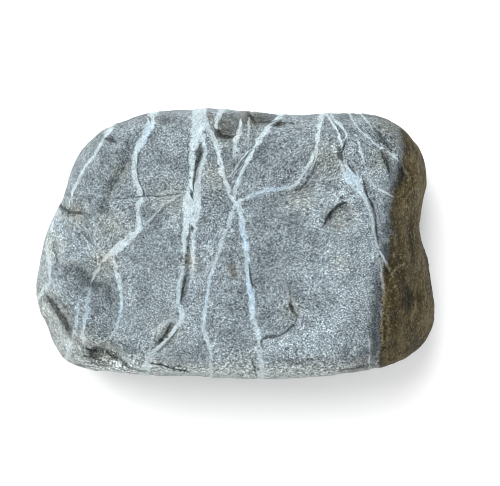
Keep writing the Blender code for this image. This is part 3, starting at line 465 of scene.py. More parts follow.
# Painted shade: soft dark bands under rims, in creases and hollows and beside the flank, by their lines in
# pixels, how wide they are to either side, and how much they darken.
shades = dict(
    leftChipUpperRim=dict(width=6.5, darker=0.48, line=[
        (65, 271), (71, 267), (79, 270), (87, 277), (93, 284)]),
    leftChipLowerRim=dict(width=6.0, darker=0.45, line=[(97, 285), (103, 283), (108, 288), (110, 298)]),
    leftCrease=dict(width=4.4, darker=0.40, line=[
        (130, 141), (125, 153), (120, 166), (113, 177), (108, 187), (106, 198), (103, 211)]),
    besideFlankUpper=dict(width=8.0, darker=0.58, line=[(399, 168), (391, 205), (387, 232)]),
    besideFlankLower=dict(width=7.4, darker=0.74, line=[
        (386, 248), (384, 262), (379, 282), (376, 310), (375.4, 340), (374.6, 366)]),
    rightOfFanVein=dict(width=4.0, darker=0.24, line=[(270, 136), (259, 150), (250, 164), (243, 178)]),
    topRightRim=dict(width=6.0, darker=0.50, line=[
        (350, 110), (372, 113.5), (392, 121), (403, 132), (404, 150)]),
    underCrescent=dict(width=3.4, darker=0.34, line=[(327, 223), (331, 215), (338, 209.6), (346, 207)]),
    bottomRecess=dict(width=5.0, darker=0.34, line=[(86, 350), (92, 351), (98, 352)]),
    leftOfCornerRidge=dict(width=4.4, darker=0.60, line=[(46, 298), (53, 306), (60, 317), (66, 328)]),
    leftEndUnderRim=dict(width=2.6, darker=0.30, line=[(56, 240), (57, 252), (56, 264)]),
    underLeftNick=dict(width=3.0, darker=0.25, line=[(66, 214), (76, 218), (88, 220)]),
    loopHollow=dict(width=4.0, darker=0.30, line=[(171, 326), (165, 335), (158, 343)]),
    underBough=dict(width=4.0, darker=0.28, line=[(297, 192), (305, 189), (311, 182), (316, 172)]),
)

# Pale lips, in the same way as the veins: partly worn edges, partly painted highlights on rims and
# ridges that face the light.
lips = dict(
    cornerRidge=dict(layer=0, strength=(0.5, 0.8, 0.8, 0.8), widths=(1.6, 3, 3.4, 3, 2), line=[
        (50, 292.5), (58, 300.6), (65, 311), (70.6, 322), (74.6, 334)]),
    bottomLedge=dict(layer=0, strength=(0.8, 1.0, 1.0, 0.7), widths=(3, 4.4, 4.8, 5.4, 4.4, 2.4), line=[
        (85, 341.6), (97, 343.4), (109, 345.6), (119, 352.4), (127, 361), (138, 366)]),
    chipUpper=dict(layer=1, strength=(0.6, 0.4, 0.5), widths=(2, 3.4, 3, 2), line=[
        (63, 263), (73, 260.6), (85, 264.6), (94, 274)]),
    chipLower=dict(layer=1, strength=0.45, widths=(1.6, 3, 3, 2), line=[
        (98, 281), (105, 279), (111.5, 285), (113.6, 296)]),
    branchSide=dict(layer=0, strength=0.45, widths=(3, 6, 5, 3), line=[
        (101, 252), (105, 260), (108, 268), (111, 277)]),
    crescent=dict(layer=1, strength=(0.4, 0.6, 0.45), widths=(1.4, 2.4, 2.6, 1.8), line=[
        (346, 202.6), (351.4, 207.6), (354.6, 214.6), (353, 221), (350, 228.6), (348, 236)]),
    flankEdge=dict(layer=0, strength=(0.8, 1.0, 1.0, 0.9), widths=(1.6, 2.6, 2.6, 2.4, 2), line=[
        (382, 262), (380.6, 272), (382.2, 284), (382.8, 300), (381.6, 322), (382.4, 346)]),
    flankTick=dict(layer=1, strength=0.75, widths=(1.4, 2, 1.4), line=[
        (368.6, 336), (369, 341), (369.6, 347)]),
    leftNick=dict(layer=0, strength=0.6, widths=(1.8, 3, 2), line=[(60, 216), (67, 218), (76, 217)]),
    creaseSide=dict(layer=1, strength=0.5, widths=(2, 4, 2.4, 1.6), line=[
        (129, 163), (126, 171), (117, 182), (112.6, 190), (112, 197)]),
    footLine=dict(layer=0, strength=0.25, widths=(1.6, 2.4, 2.4, 1.6), line=[
        (190, 373.6), (222, 375.6), (262, 377.4), (310, 376)]),
    topRim=dict(layer=1, strength=0.30, widths=(1.4, 2, 1.4), line=[(214, 110.6), (232, 110.4), (250, 112)]),
    wandererSide=dict(layer=1, strength=0.7, widths=(2, 5, 4, 2), line=[
        (287, 289), (290, 299), (295, 309), (297, 315)]),
    flankStreak=dict(layer=0, strength=0.8, widths=(1.4, 2.6, 3, 1.6), line=[
        (414.6, 290), (416.2, 299), (415.4, 309), (412, 320)]),
    flankBead=dict(layer=1, strength=0.5, widths=(1.4, 2, 1.4), line=[(389, 318), (388, 330), (386.4, 344)]),
)

# Painted shade: the flank's dark brown stands for its shade and warm bounced light, partly a weathered rind.
# The brown flank at the right end: the edge line that it starts from, in pixels, and how soft that edge is.
flank = dict(
    softness=(9.0, 3.2),  # at the top of the line and at its foot
    edge=[(398, 100), (402, 128), (403.5, 150), (399, 172), (393, 189), (391.7, 210), (390, 221), (388, 250),
          (382.6, 275), (380.6, 290), (380.6, 326), (380.6, 338), (380, 350), (379.6, 372), (379, 392)],
)


# How many layers of each kind of line there are.
layerCounts = dict(veins=3, cracks=2, lips=2)

# Where edges are worn, hollows are dirty and darkened by painted shade, and the surface crumbles. A way up is
# 1 straight up and -1 straight down.
wear = dict(
    edgeUp=(0.92, 0.55),  # a worn edge comes in as the ways up fall from the one to the other
    edgeRows=(235.0, 315.0),  # it grows between these rows of the photograph, from the least
    edgeLeast=0.15,
    edgeUnder=(-0.9, 0.1),  # and ends between these ways up
    edgeWarmth=0.4,
    shoulderUp=(0.95, 0.6),
    shoulderUnder=(-0.2, 0.2),
    shoulderNear=1.60,  # how much it crumbles where it faces the foot of the photograph
    shoulderLess=1.40,  # and how much less where it faces the top
    shoulderAcross=(-0.5, 0.1),
    # The hollows' darkening is painted shade as well as dirt, full at the depth below.
    hollowDeep=1.4,  # millimetres that a hollow full of dirt is deep
    flankUnder=(-0.85, -0.2),
)

# How the sheets of veins and cracks waver, in pixels.
waver = dict(
    columnSeed=31,
    rowSeed=32,
    atBelly=0.7,
    belowBelly=0.55,  # more for each millimetre down
    bands=[dict(height=1.0, wavelength=9.0, waves=8), dict(height=0.55, wavelength=2.4, waves=16)],
)

# How the cracks' width and depth change along them, as shares, and by how many pixels the grooves are wider.
groove = dict(
    widthSeed=41,
    widthBand=dict(height=1.0, wavelength=1.6, waves=14),
    widthChange=0.5,
    depthSeed=42,
    depthBand=dict(height=1.0, wavelength=1.1, waves=14),
    depthChange=0.4,
    wider=1.2,
)


# Smooth step: 0 below low, 1 above high, and 3t^2 - 2t^3 between.
def smoothStep(low, high, value):
    t = np.clip((value - low) / (high - low), 0.0, 1.0)
    return t * t * (3.0 - 2.0 * t)


# Closed curve: a cubic between each two points, whose slope at a point is half the way from its one
# neighbour to the other.
def closedCurve(points, steps=10):
    points = np.array(points, float)
    before, after, second = (np.roll(points, shift, axis=0) for shift in (1, -1, -2))
    t = np.linspace(0.0, 1.0, steps, endpoint=False)[:, None, None]
    bend = 2 * before - 5 * points + 4 * after - second
    twist = 3 * points - before - 3 * after + second
    curve = points + 0.5 * t * ((after - before) + t * (bend + t * twist))
    return curve.transpose(1, 0, 2).reshape(-1, 2)


outlineCurve = closedCurve(form["outline"])
outlineAngles = np.arctan2(outlineCurve[:, 1], outlineCurve[:, 0])
outlineReach = np.hypot(outlineCurve[:, 0], outlineCurve[:, 1])


# Fullness, 1 on the bare form: the share of the outline's reach and the share of the height, joined by a
# power sum, and that joined with the share of the way out to each facet's plane by a sharper power sum.
def fullness(points):
    x, y, z = points.T
    reach = np.interp(np.arctan2(y, x), outlineAngles, outlineReach, period=2 * math.pi)
    side = np.hypot(x, y) / reach
    halfAlong, halfAcross = form["halfSize"]
    face = form["faceRise"] - form["crownAlong"] * (x / halfAlong) ** 2
    face = face - form["crownAcross"] * (y / halfAcross) ** 2
    rise = np.clip(z - form["bellyLevel"], 0.0, None) / face
    fall = np.clip(form["bellyLevel"] - z, 0.0, None) / form["backDepth"]
    above, below, sharp = form["shoulderSquareness"], form["backSquareness"], form["facetSquareness"]
    upper = (side**above + rise**above) ** (1 / above)
    lower = (side**below + fall**below) ** (1 / below)
    total = np.where(z > form["bellyLevel"], upper, lower) ** sharp
    for facet in form["facets"]:
        faces = np.array(facet["faces"]) / np.linalg.norm(facet["faces"])
        out = (points - (0.0, 0.0, form["bellyLevel"])) @ faces
        total += np.clip(out / facet["distance"], 0.0, None) ** sharp
    return total ** (1 / sharp)


# The point of the bare form on each ray from the middle of the belly, found by halving.
def castToForm(directions, steps=34, farthest=80.0):
    middle = np.array([0.0, 0.0, form["bellyLevel"]])
    near = np.zeros(len(directions))
    far = np.full(len(directions), farthest)
    for _ in range(steps):
        half = 0.5 * (near + far)
        inside = fullness(middle + directions * half[:, None]) < 1.0
        near = np.where(inside, half, near)
        far = np.where(inside, far, half)
    return middle + directions * near[:, None]


# The way the bare form faces: the slope of its fullness, from points a little to either side on each axis.
def outwardWay(points, reach=0.4):
    slope = np.empty_like(points)
    for axis in range(3):
        offset = np.zeros(3)
        offset[axis] = reach
        slope[:, axis] = fullness(points + offset) - fullness(points - offset)
    return slope / np.linalg.norm(slope, axis=1)[:, None]


# How much of the marks of the face a point takes, by a smooth step of its level, which is lower on the flank.
def markedShare(points):
    lower = form["flankMarkedLower"] * smoothStep(form["flankFrom"], form["flankBeyond"], points[:, 0])
    return smoothStep(form["markedFrom"], form["markedAbove"], points[:, 2] + lower)


# Where the camera of the photograph sees each point, as a column and a row: turned by the lean, then
# divided by the distance from the camera.
def photoSpot(points):
    lean = math.radians(photo["leanDegrees"])
    dx, dy, dz = (points - np.array(photo["aim"])).T
    across = dx * math.cos(lean) - dz * math.sin(lean)
    distance = photo["reach"] - dx * math.sin(lean) - dz * math.cos(lean)
    column = photo["columns"] / 2 + photo["focalPixels"] * across / distance
    row = photo["rows"] / 2 - photo["focalPixels"] * dy / distance
    return column, row


# Distance to a line of points, positive to its right, and the share of its length passed at the nearest
# point.
def besideLine(x, y, line):
    line = np.array(line, float)
    runs = np.diff(line, axis=0)
    lengths = np.hypot(runs[:, 0], runs[:, 1])
    passed = np.concatenate([[0.0], np.cumsum(lengths)])
    nearest = np.full(x.shape, np.inf)
    signed = np.zeros(x.shape)
    along = np.zeros(x.shape)
    for start, run, length, before in zip(line, runs, lengths, passed):
        t = np.clip(((x - start[0]) * run[0] + (y - start[1]) * run[1]) / length**2, 0.0, 1.0)
        offX = x - start[0] - t * run[0]
        offY = y - start[1] - t * run[1]
        distance = np.hypot(offX, offY)
        closer = distance < nearest
        nearest = np.where(closer, distance, nearest)
        signed = np.where(closer, distance * np.sign(offX * run[1] - offY * run[0]), signed)
        along = np.where(closer, (before + t * length) / passed[-1], along)
    return signed, along


# A flake scar: an oval's room, one less the square of the way out, raised to a power that is low at the
# steep wall.
def scarDepth(x, y, scar):
    turn = math.radians(scar["steepAt"])
    offX, offY = x - scar["at"][0], y - scar["at"][1]
    ahead = (offX * math.cos(turn) + offY * math.sin(turn)) / scar["size"][0]
    aside = (offY * math.cos(turn) - offX * math.sin(turn)) / scar["size"][1]
    room = np.clip(1.0 - ahead**2 - aside**2, 0.0, 1.0)
    return scar["depth"] * room ** (1.5 - 1.15 * np.clip(0.5 + 0.5 * ahead, 0.0, 1.0))


# A ledge: a smooth step at the line times a fading exponential beyond it, run out at the line's ends.
def ledgeDepth(x, y, ledge):
    right, along = besideLine(x, y, ledge["line"])
    ends = smoothStep(0.0, 0.14, along) * smoothStep(0.0, 0.14, 1.0 - along)
    fading = np.exp(-np.clip(right, 0.0, None) / ledge["fade"])
    return ledge["drop"] * ends * smoothStep(-0.15, 0.55, right) * fading


# Plane waves with chance ways, pitches and phases, summed band by band.
def waveHeight(points, bands, seed):
    chance = np.random.default_rng(seed)
    height = np.zeros(len(points))
    for band in bands:
        ways = chance.normal(size=(band["waves"], 3))
        ways /= np.linalg.norm(ways, axis=1)[:, None]
        pitch = 2 * math.pi / (band["wavelength"] * chance.uniform(0.75, 1.35, band["waves"]))
        phases = chance.uniform(0.0, 2 * math.pi, band["waves"])
        waves = np.sin(points @ (ways * pitch[:, None]).T + phases)
        height += band["height"] * waves.sum(axis=1) / math.sqrt(band["waves"])
    return height


# Scattered pits: at each of some chance points of the surface, a round bowl, one less the square of the way
# out.
def pitDepth(points):
    chance = np.random.default_rng(swells["pitSeed"])
    middles = points[chance.integers(0, len(points), swells["pits"])]
    radii = chance.uniform(*swells["pitRadius"], swells["pits"])
    depths = chance.uniform(*swells["pitDepth"], swells["pits"])
    depth = np.zeros(len(points))
    for middle, radius, deep in zip(middles, radii, depths):
        room = 1.0 - ((points - middle) ** 2).sum(axis=1) / radius**2
        depth = np.maximum(depth, deep * np.clip(room, 0.0, None))
    return depth


# The spot whose column and row decide which sheet of vein or crack a point is in: its own place in the
# photograph, wavering with the place in the rock, more so below the belly.
def sheetSpot(points):
    column, row = photoSpot(points)
    down = np.clip(form["sheetsLeanBelow"] - points[:, 2], 0.0, None)
    most = waver["atBelly"] + waver["belowBelly"] * down
    column = column + most * waveHeight(points, waver["bands"], waver["columnSeed"])
    row = row + most * waveHeight(points, waver["bands"], waver["rowSeed"])
    return column, row, down


# One layer of lines as a field: the signed and the plain distance, in pixels, of the line whose edge is
# nearest, its half width there, and its strength. The signed one passes evenly through zero, so that a thin
# line stays whole between two vertices.
def lineField(column, row, down, lines, layer, strengthName, farthest=30.0, neverPinched=90.0):
    signed = np.full(len(column), farthest)
    edge = np.full(len(column), farthest)
    half = np.ones(len(column))
    strength = np.zeros(len(column))
    for line in lines.values():
        if line["layer"] != layer:
            continue
        right, along = besideLine(column + line.get("dip", 0.0) * down, row, line["line"])
        halfHere = 0.5 * np.interp(along, np.linspace(0.0, 1.0, len(line["widths"])), line["widths"])
        strengths = np.atleast_1d(line[strengthName])
        strengthHere = np.interp(along, np.linspace(0.0, 1.0, len(strengths)), strengths)
        pinched = line.get("pinched", neverPinched)
        strengthHere = strengthHere * smoothStep(pinched, 0.5 * pinched, down)
        closer = np.abs(right) - halfHere < edge
        signed = np.where(closer, right, signed)
        half = np.where(closer, halfHere, half)
        strength = np.where(closer, strengthHere, strength)
        edge = np.where(closer, np.abs(right) - halfHere, edge)
    return np.stack([signed, np.abs(signed), half], axis=1), strength


# How deep the cracks go: a groove across each line, steep at its bottom and pinched at both ends, whose
# width and depth change with two chance waves.
def crackDepth(points, column, row):
    depth = np.zeros(len(column))
    wider = 1.0 + groove["widthChange"] * waveHeight(points, [groove["widthBand"]], groove["widthSeed"])
    deeper = 1.0 + groove["depthChange"] * waveHeight(points, [groove["depthBand"]], groove["depthSeed"])
    for crack in cracks.values():
        right, along = besideLine(column, row, crack["line"])
        stops = np.linspace(0.0, 1.0, len(crack["widths"]))
        width = np.interp(along, stops, crack["widths"]) + groove["wider"]
        room = np.clip(1.0 - np.abs(2.0 * right / (width * np.clip(wider, 0.3, 1.8))) ** 1.4, 0.0, 1.0)
        ends = np.sqrt(np.clip(6.0 * along * (1.0 - along), 0.2, 1.0))
        depth = np.maximum(depth, crack["depth"] * room * ends)
    return depth * np.clip(deeper, 0.2, 1.6)


# A field of round patches, each falling off as a bell curve.
def patchField(column, row, patches):
    field = np.zeros(len(column))
    for columnAt, rowAt, radius, strength in patches:
        away = ((column - columnAt) ** 2 + (row - rowAt) ** 2) / radius**2
        field = np.maximum(field, strength * np.exp(-away))
    return field


# Painted light and shade with tone: one plus the sum of oval bell curves, times what each painted shade
# band leaves, a bell curve across its line.
def paintedLightAndToneField(column, row):
    field = np.ones(len(column))
    for columnAt, rowAt, radiusAcross, radiusDown, lighter in paintedLightAndTones:
        across = (column - columnAt) / radiusAcross
        down = (row - rowAt) / radiusDown
        field = field + lighter * np.exp(-across**2 - down**2)
    for shade in shades.values():
        right, along = besideLine(column, row, shade["line"])
        field = field * (1.0 - shade["darker"] * np.exp(-(right / shade["width"]) ** 2))
    return field


# Share of painted flank shade: a smooth step across its edge line, whose width runs between two softnesses.
def flankField(column, row):
    right, along = besideLine(column, row, flank["edge"])
    softness = np.interp(along, (0.0, 1.0), flank["softness"])
    return smoothStep(-1.0, 1.0, right / softness)


# The closed grid: a lattice on the skin of a box, with equal corners shared. A vertex of the top or the
# bottom is lifted from the rim by a root of what is left of the way out, and one on the rim stands on its
# level.
def stoneLattice():
    along, across, up = cells["along"], cells["across"], cells["up"]

    def sheet(first, second, place):
        i, j = np.meshgrid(np.arange(first), np.arange(second), indexing="ij")
        corners = [place(i + a, j + b) for a, b in ((0, 0), (1, 0), (1, 1), (0, 1))]
        return np.stack([np.stack(corner, axis=-1) for corner in corners], axis=2).reshape(-1, 4, 3)

    faces = np.concatenate([
        sheet(along, across, lambda i, j: (i, j, i * 0 + up)),
        sheet(along, across, lambda i, j: (i, j, i * 0))[:, ::-1],
        sheet(along, up, lambda i, k: (i, i * 0, k)),
        sheet(along, up, lambda i, k: (i, i * 0 + across, k))[:, ::-1],
        sheet(across, up, lambda j, k: (j * 0, j, k))[:, ::-1],
        sheet(across, up, lambda j, k: (j * 0 + along, j, k)),
    ])
    knots, index = np.unique(faces.reshape(-1, 3), axis=0, return_inverse=True)
    u = 2.0 * knots[:, 0] / along - 1.0
    v = 2.0 * knots[:, 1] / across - 1.0
    w = knots[:, 2] / up
    out = np.maximum(np.abs(u), np.abs(v))
    lift = np.clip(1.0 - out**5, 0.0, 1.0) ** 0.7
    level = cells["rimBottom"] + w * (cells["rimTop"] - cells["rimBottom"])
    level = np.where(w == 1.0, level + lift * (form["faceRise"] - cells["rimTop"]), level)
    level = np.where(w == 0.0, level - lift * (form["bellyLevel"] + cells["rimBottom"]), level)
    halfAlong, halfAcross = form["halfSize"]
    towards = np.stack([u * halfAlong, v * halfAcross, level], axis=1)
    return towards / np.linalg.norm(towards, axis=1)[:, None], index.reshape(-1, 4)


# The finished surface: the bare form moved along the way it faces by swells, roughness, veins, scars and
# cracks, flat where it rests, and fitted to the box of the solid that it stands for.
def stoneSurface(towards):
    bare = castToForm(towards)
    facing = outwardWay(bare)
    x, y, z = bare.T
    carved = np.zeros(len(bare))
    for scar in scars.values():
        carved = np.maximum(carved, scarDepth(x, y, scar))
    for ledge in ledges.values():
        carved = carved + ledgeDepth(x, y, ledge)
    upperSide = smoothStep(form["carvedFrom"], form["carvedAbove"], z)
    column, row, down = sheetSpot(bare)
    cracked = crackDepth(bare, column, row) * markedShare(bare)
    veinRise = np.zeros(len(bare))
    for layer in range(layerCounts["veins"]):
        field, strength = lineField(column, row, down, veins, layer, "strength")
        rise = swells["veinRise"] * strength * smoothStep(1.3, 0.3, field[:, 1] / field[:, 2])
        veinRise = np.maximum(veinRise, rise)
    rough = waveHeight(bare, swells["fineBands"], swells["fineSeed"]) - pitDepth(bare)
    relief = waveHeight(bare, swells["bands"], swells["seed"]) - carved * upperSide
    relief = relief + rough + veinRise - cracked
    points = bare + facing * relief[:, None]
    points[:, 2] = np.clip(points[:, 2], 0.0, None)
    low, high = points.min(axis=0), points.max(axis=0)
    boxLow, boxHigh = np.array(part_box("stone")) / mm
    points = boxLow + (points - low) * (boxHigh - boxLow) / (high - low)
    return points, facing, carved * upperSide + cracked


# Attributes that the rock's material reads, one value or three for each vertex.
def giveAttribute(mesh, name, values):
    kind = "FLOAT" if values.ndim == 1 else "FLOAT_VECTOR"
    attribute = mesh.attributes.new(name, kind, "POINT")
    attribute.data.foreach_set("value" if values.ndim == 1 else "vector", values.astype(np.float32).ravel())


def meshFrom(name, points, quads):
    mesh = bpy.data.meshes.new(name)
    mesh.vertices.add(len(points))
    mesh.vertices.foreach_set("co", (points * mm).astype(np.float32).ravel())
    mesh.loops.add(quads.size)
    mesh.loops.foreach_set("vertex_index", quads.astype(np.int32).ravel())
    mesh.polygons.add(len(quads))
    mesh.polygons.foreach_set("loop_start", np.arange(0, quads.size, 4, dtype=np.int32))
    mesh.update(calc_edges=True)
    mesh.shade_smooth()
    return mesh


def makeStone():
    towards, quads = stoneLattice()
    points, facing, depth = stoneSurface(towards)
    mesh = meshFrom("veinedStone", points, quads)
    column, row, down = sheetSpot(points)
    upperSide = markedShare(points)
    for name, lines, strengthName in (("veins", veins, "strength"), ("cracks", cracks, "dirtAndShade"),
                                      ("lips", lips, "strength")):
        marked = 1.0 if name == "veins" else upperSide  # only the veins run through the whole stone
        for layer in range(layerCounts[name]):
            field, strength = lineField(column, row, down, lines, layer, strengthName)
            giveAttribute(mesh, f"{name}{layer}", field)
            giveAttribute(mesh, f"{name}{layer}Strength", strength * marked)
    giveAttribute(mesh, "rust", patchField(column, row, stains["rust"]) * upperSide)
    wayAcross, wayUp = facing[:, 1], facing[:, 2]
    edgeGrowth = wear["edgeLeast"] + (1.0 - wear["edgeLeast"]) * smoothStep(*wear["edgeRows"], row)
    edgeBand = smoothStep(*wear["edgeUp"], wayUp) * edgeGrowth
    warm = np.maximum(patchField(column, row, stains["warm"]) * upperSide, wear["edgeWarmth"] * edgeBand)
    giveAttribute(mesh, "warm", warm)
    giveAttribute(mesh, "bluer", patchField(column, row, stains["bluer"]))
    giveAttribute(mesh, "worn", edgeBand * smoothStep(*wear["edgeUnder"], wayUp))
    shoulder = smoothStep(*wear["shoulderUp"], wayUp) * smoothStep(*wear["shoulderUnder"], wayUp)
    less = wear["shoulderLess"] * smoothStep(*wear["shoulderAcross"], wayAcross)
    shoulder = shoulder * (wear["shoulderNear"] - less)
    crumbly = patchField(column, row, stains["crumbly"]) * upperSide
    giveAttribute(mesh, "crumbly", np.maximum(shoulder, crumbly))
    # Painted shade and dirt in the hollows, darker where the surface is carved deeper.
    giveAttribute(mesh, "hollow", np.clip(depth / wear["hollowDeep"], 0.0, 1.0))
    # Painted light and shade with the stone's tone, fading to none below the face.
    giveAttribute(mesh, "paintedLightAndTone", 1.0 + (paintedLightAndToneField(column, row) - 1.0) * upperSide)
    # Painted shade on the flank, fading out where the surface faces down.
    giveAttribute(mesh, "flank", flankField(column, row) * smoothStep(*wear["flankUnder"], wayUp))
    stone = bpy.data.objects.new("veinedStone", mesh)
    bpy.context.scene.collection.objects.link(stone)
    print("stone:", len(points), "vertices,", 2 * len(quads), "triangles")
    return stone


# Small helpers for the material's nodes. Each adds its nodes, feeds them numbers or sockets, and gives what
# comes out.
class NodeBench:
    def __init__(self, material):
        material.use_nodes = True
        self.tree = material.node_tree
        self.shader = self.tree.nodes["Principled BSDF"]
        self.place = self.add("ShaderNodeTexCoord").outputs["Object"]

    def add(self, kind, settings=None, **inputs):
        node = self.tree.nodes.new(kind)
        for key, value in (settings or {}).items():
            setattr(node, key, value)
        for key, value in inputs.items():
            self.feed(node.inputs[key], value)
        return node

    def feed(self, socket, value):
        if isinstance(value, bpy.types.NodeSocket):
            self.tree.links.new(value, socket)
        else:
            socket.default_value = value

    def math(self, operation, first, second=0.0, third=0.0):
        node = self.add("ShaderNodeMath", dict(operation=operation))
        for socket, value in zip(node.inputs, (first, second, third)):
            self.feed(socket, value)
        return node.outputs[0]

    def times(self, first, second):
        return self.math("MULTIPLY", first, second)

    def plus(self, first, second):
        return self.math("ADD", first, second)

    # The first times the second, and the third added.
    def timesPlus(self, first, second, third):
        return self.math("MULTIPLY_ADD", first, second, third)

    def mapRange(self, value, fromLow, fromHigh, toLow=0.0, toHigh=1.0, smooth=True):
        node = self.add("ShaderNodeMapRange", dict(interpolation_type="SMOOTHSTEP" if smooth else "LINEAR"))
        for socket, number in zip(node.inputs, (value, fromLow, fromHigh, toLow, toHigh)):
            self.feed(socket, number)
        return node.outputs[0]

    # A share from 0 to 1 turned evenly into a value between two others.
    def spread(self, share, low, high):
        return self.mapRange(share, 0.0, 1.0, low, high, smooth=False)

    # Noise turned evenly into a value between less and more of the same.
    def swing(self, noise, low, high, most):
        return self.mapRange(noise, low, high, -most, most, smooth=False)

    def mixColours(self, share, first, second, blend="MIX"):
        node = self.add("ShaderNodeMix", dict(data_type="RGBA", blend_type=blend, clamp_factor=True))
        self.feed(node.inputs[0], share)
        self.feed(node.inputs[6], first)
        self.feed(node.inputs[7], second)
        return node.outputs[2]

    # A colour multiplied by a tint, by a share.
    def tinted(self, share, colour, tint):
        return self.mixColours(share, colour, self.mixColours(1.0, colour, tint, "MULTIPLY"))

    def scaled(self, colour, share):
        node = self.add("ShaderNodeVectorMath", dict(operation="SCALE"))
        self.feed(node.inputs[0], colour)
        self.feed(node.inputs["Scale"], share)
        return node.outputs["Vector"]

    def attribute(self, name, output="Fac"):
        return self.add("ShaderNodeAttribute", dict(attribute_name=name)).outputs[output]

    # Noise, about a half on the whole. Three scales, one for each way, stretch it.
    def noise(self, scale, detail, **inputs):
        place = self.place
        if isinstance(scale, tuple):
            place = self.add("ShaderNodeMapping", None, Vector=place, Scale=scale).outputs["Vector"]
            scale = 1.0
        node = self.add("ShaderNodeTexNoise", None, Vector=place, Scale=scale, Detail=detail, **inputs)
        return node.outputs["Fac"]

    # Cells: how far each place is from the middle of its cell, and three chances of the cell, from 0 to 1.
    def grains(self, scale):
        node = self.add("ShaderNodeTexVoronoi", None, Vector=self.place, Scale=scale)
        chances = self.add("ShaderNodeSeparateColor", None, Color=node.outputs["Color"])
        return node.outputs["Distance"], chances.outputs


rock = dict(
    grainColours=[  # from the darkest grains to the brightest, by their place on the ramp
        (0.04, (0.030, 0.036, 0.040, 1.0)),
        (0.28, (0.147, 0.178, 0.195, 1.0)),
        (0.74, (0.266, 0.327, 0.359, 1.0)),
        (1.0, (0.660, 0.780, 0.835, 1.0)),
    ],
    warmTint=(1.08, 0.97, 0.80, 1.0),
    creamTint=(1.22, 1.08, 0.98, 1.0),  # what a warm place does to the veins
    bruiseColour=(0.620, 0.645, 0.620, 1.0),
    lipColour=(0.430, 0.460, 0.450, 1.0),
    # Painted shade: the flank's colours, dark and brown for its shade and warm bounced light, partly
    # weathered.
    flankLight=(0.112, 0.090, 0.043, 1.0),
    flankDeep=(0.035, 0.026, 0.006, 1.0),
    flankDark=(0.014, 0.010, 0.003, 1.0),
    flankFleck=(0.225, 0.184, 0.104, 1.0),
    flankVeinTint=(0.36, 0.29, 0.19, 1.0),
    rustColour=(0.092, 0.062, 0.036, 1.0),
    blueTint=(0.84, 0.97, 1.13, 1.0),
    # The darkest colour: dark specks and dirt, and painted shade in cracks and hollows.
    dirtAndShadeColour=(0.009, 0.011, 0.009, 1.0),
    veinColour=(0.650, 0.772, 0.820, 1.0),
    veinShade=(0.225, 0.285, 0.315, 1.0),
    grainScale=6300.0,  # grains a metre
    coarseScale=1500.0,
    crumbScale=2700.0,  # where it crumbles, and on the flank
    speckScale=850.0,
    mottleScale=230.0,
    patchScale=55.0,
    frayScale=900.0,
    edgeScale=760.0,
    turnScale=380.0,
    streakScale=(620.0, 260.0, 260.0),  # across the flank, along its foot, up and down it
    lumpScale=(260.0, 150.0, 170.0),
    fibreScale=(1300.0, 560.0, 1300.0),
    fineContrast=1.08,
    coarseContrast=0.03,
    darker=0.09,
    mottleContrast=0.11,
    patchContrast=0.04,
    crumbContrast=0.80,
    bruised=0.8,
    fewestSpecks=(0.45, 0.15),  # the share of cells without a speck: on the face, and where it crumbles
    speckSize=0.34,
    speckDarkness=0.62,
    flankWander=(0.25, 0.16),  # of its edge, by the mottling and by the grains
    fineOnFlank=0.70,
    fibreContrast=0.62,
    streakDarkness=0.62,
    fleckFrom=0.72,
    fleckShare=0.60,
    hollowDarkness=0.22,
    frayed=(3.6, 0.8),  # pixels that the lips' edges wander, by noise and by the grains
    ragged=(1.7, 0.60),  # the same of the veins
    crumbledEdge=0.75,  # of the veins' raggedness, for the cracks
    lipSoftness=1.3,  # pixels to either side of an edge
    veinSoftness=0.40,
    crackSoftness=0.5,
    veinInset=0.3,
    veinOnFlank=0.75,
    veinOnSpeck=0.35,
    heights=dict(grain=0.70, coarse=0.25, fray=0.6, chance=0.55, speck=-0.8, vein=0.5, fibre=1.4),
    bumpStrength=0.85,
    bumpDistance=0.00020,
    roughness=(0.68, 0.92),
    specular=0.16,
)


# The share of a layer's lines at a place: their distance is the signed one made plain, or the plain one
# less a slack where that is more, so that two far lines of unlike sign leave no false line between them.
# The edge lies at the half width, and wanders by the raggedness, less where the line is thin.
def layerMask(bench, name, ragged, soft, inset=0.0, slack=2.0, most=1.1):
    split = bench.add("ShaderNodeSeparateXYZ", None, Vector=bench.attribute(name, "Vector"))
    signed = bench.math("ABSOLUTE", split.outputs[0])
    plain = bench.math("SUBTRACT", split.outputs[1], slack)
    out = bench.math("SUBTRACT", bench.math("MAXIMUM", signed, plain), split.outputs[2])
    wander = bench.math("MINIMUM", bench.timesPlus(split.outputs[2], 0.42, 0.12), most)
    out = bench.timesPlus(ragged, wander, bench.plus(out, inset))
    return bench.times(bench.mapRange(out, soft, -soft), bench.attribute(name + "Strength"))


# All layers of one kind of line together: the strongest at each place.
def linesMask(bench, name, ragged, soft, inset=0.0):
    share = layerMask(bench, name + "0", ragged, soft, inset)
    for layer in range(1, layerCounts[name]):
        share = bench.math("MAXIMUM", share, layerMask(bench, f"{name}{layer}", ragged, soft, inset))
    return share


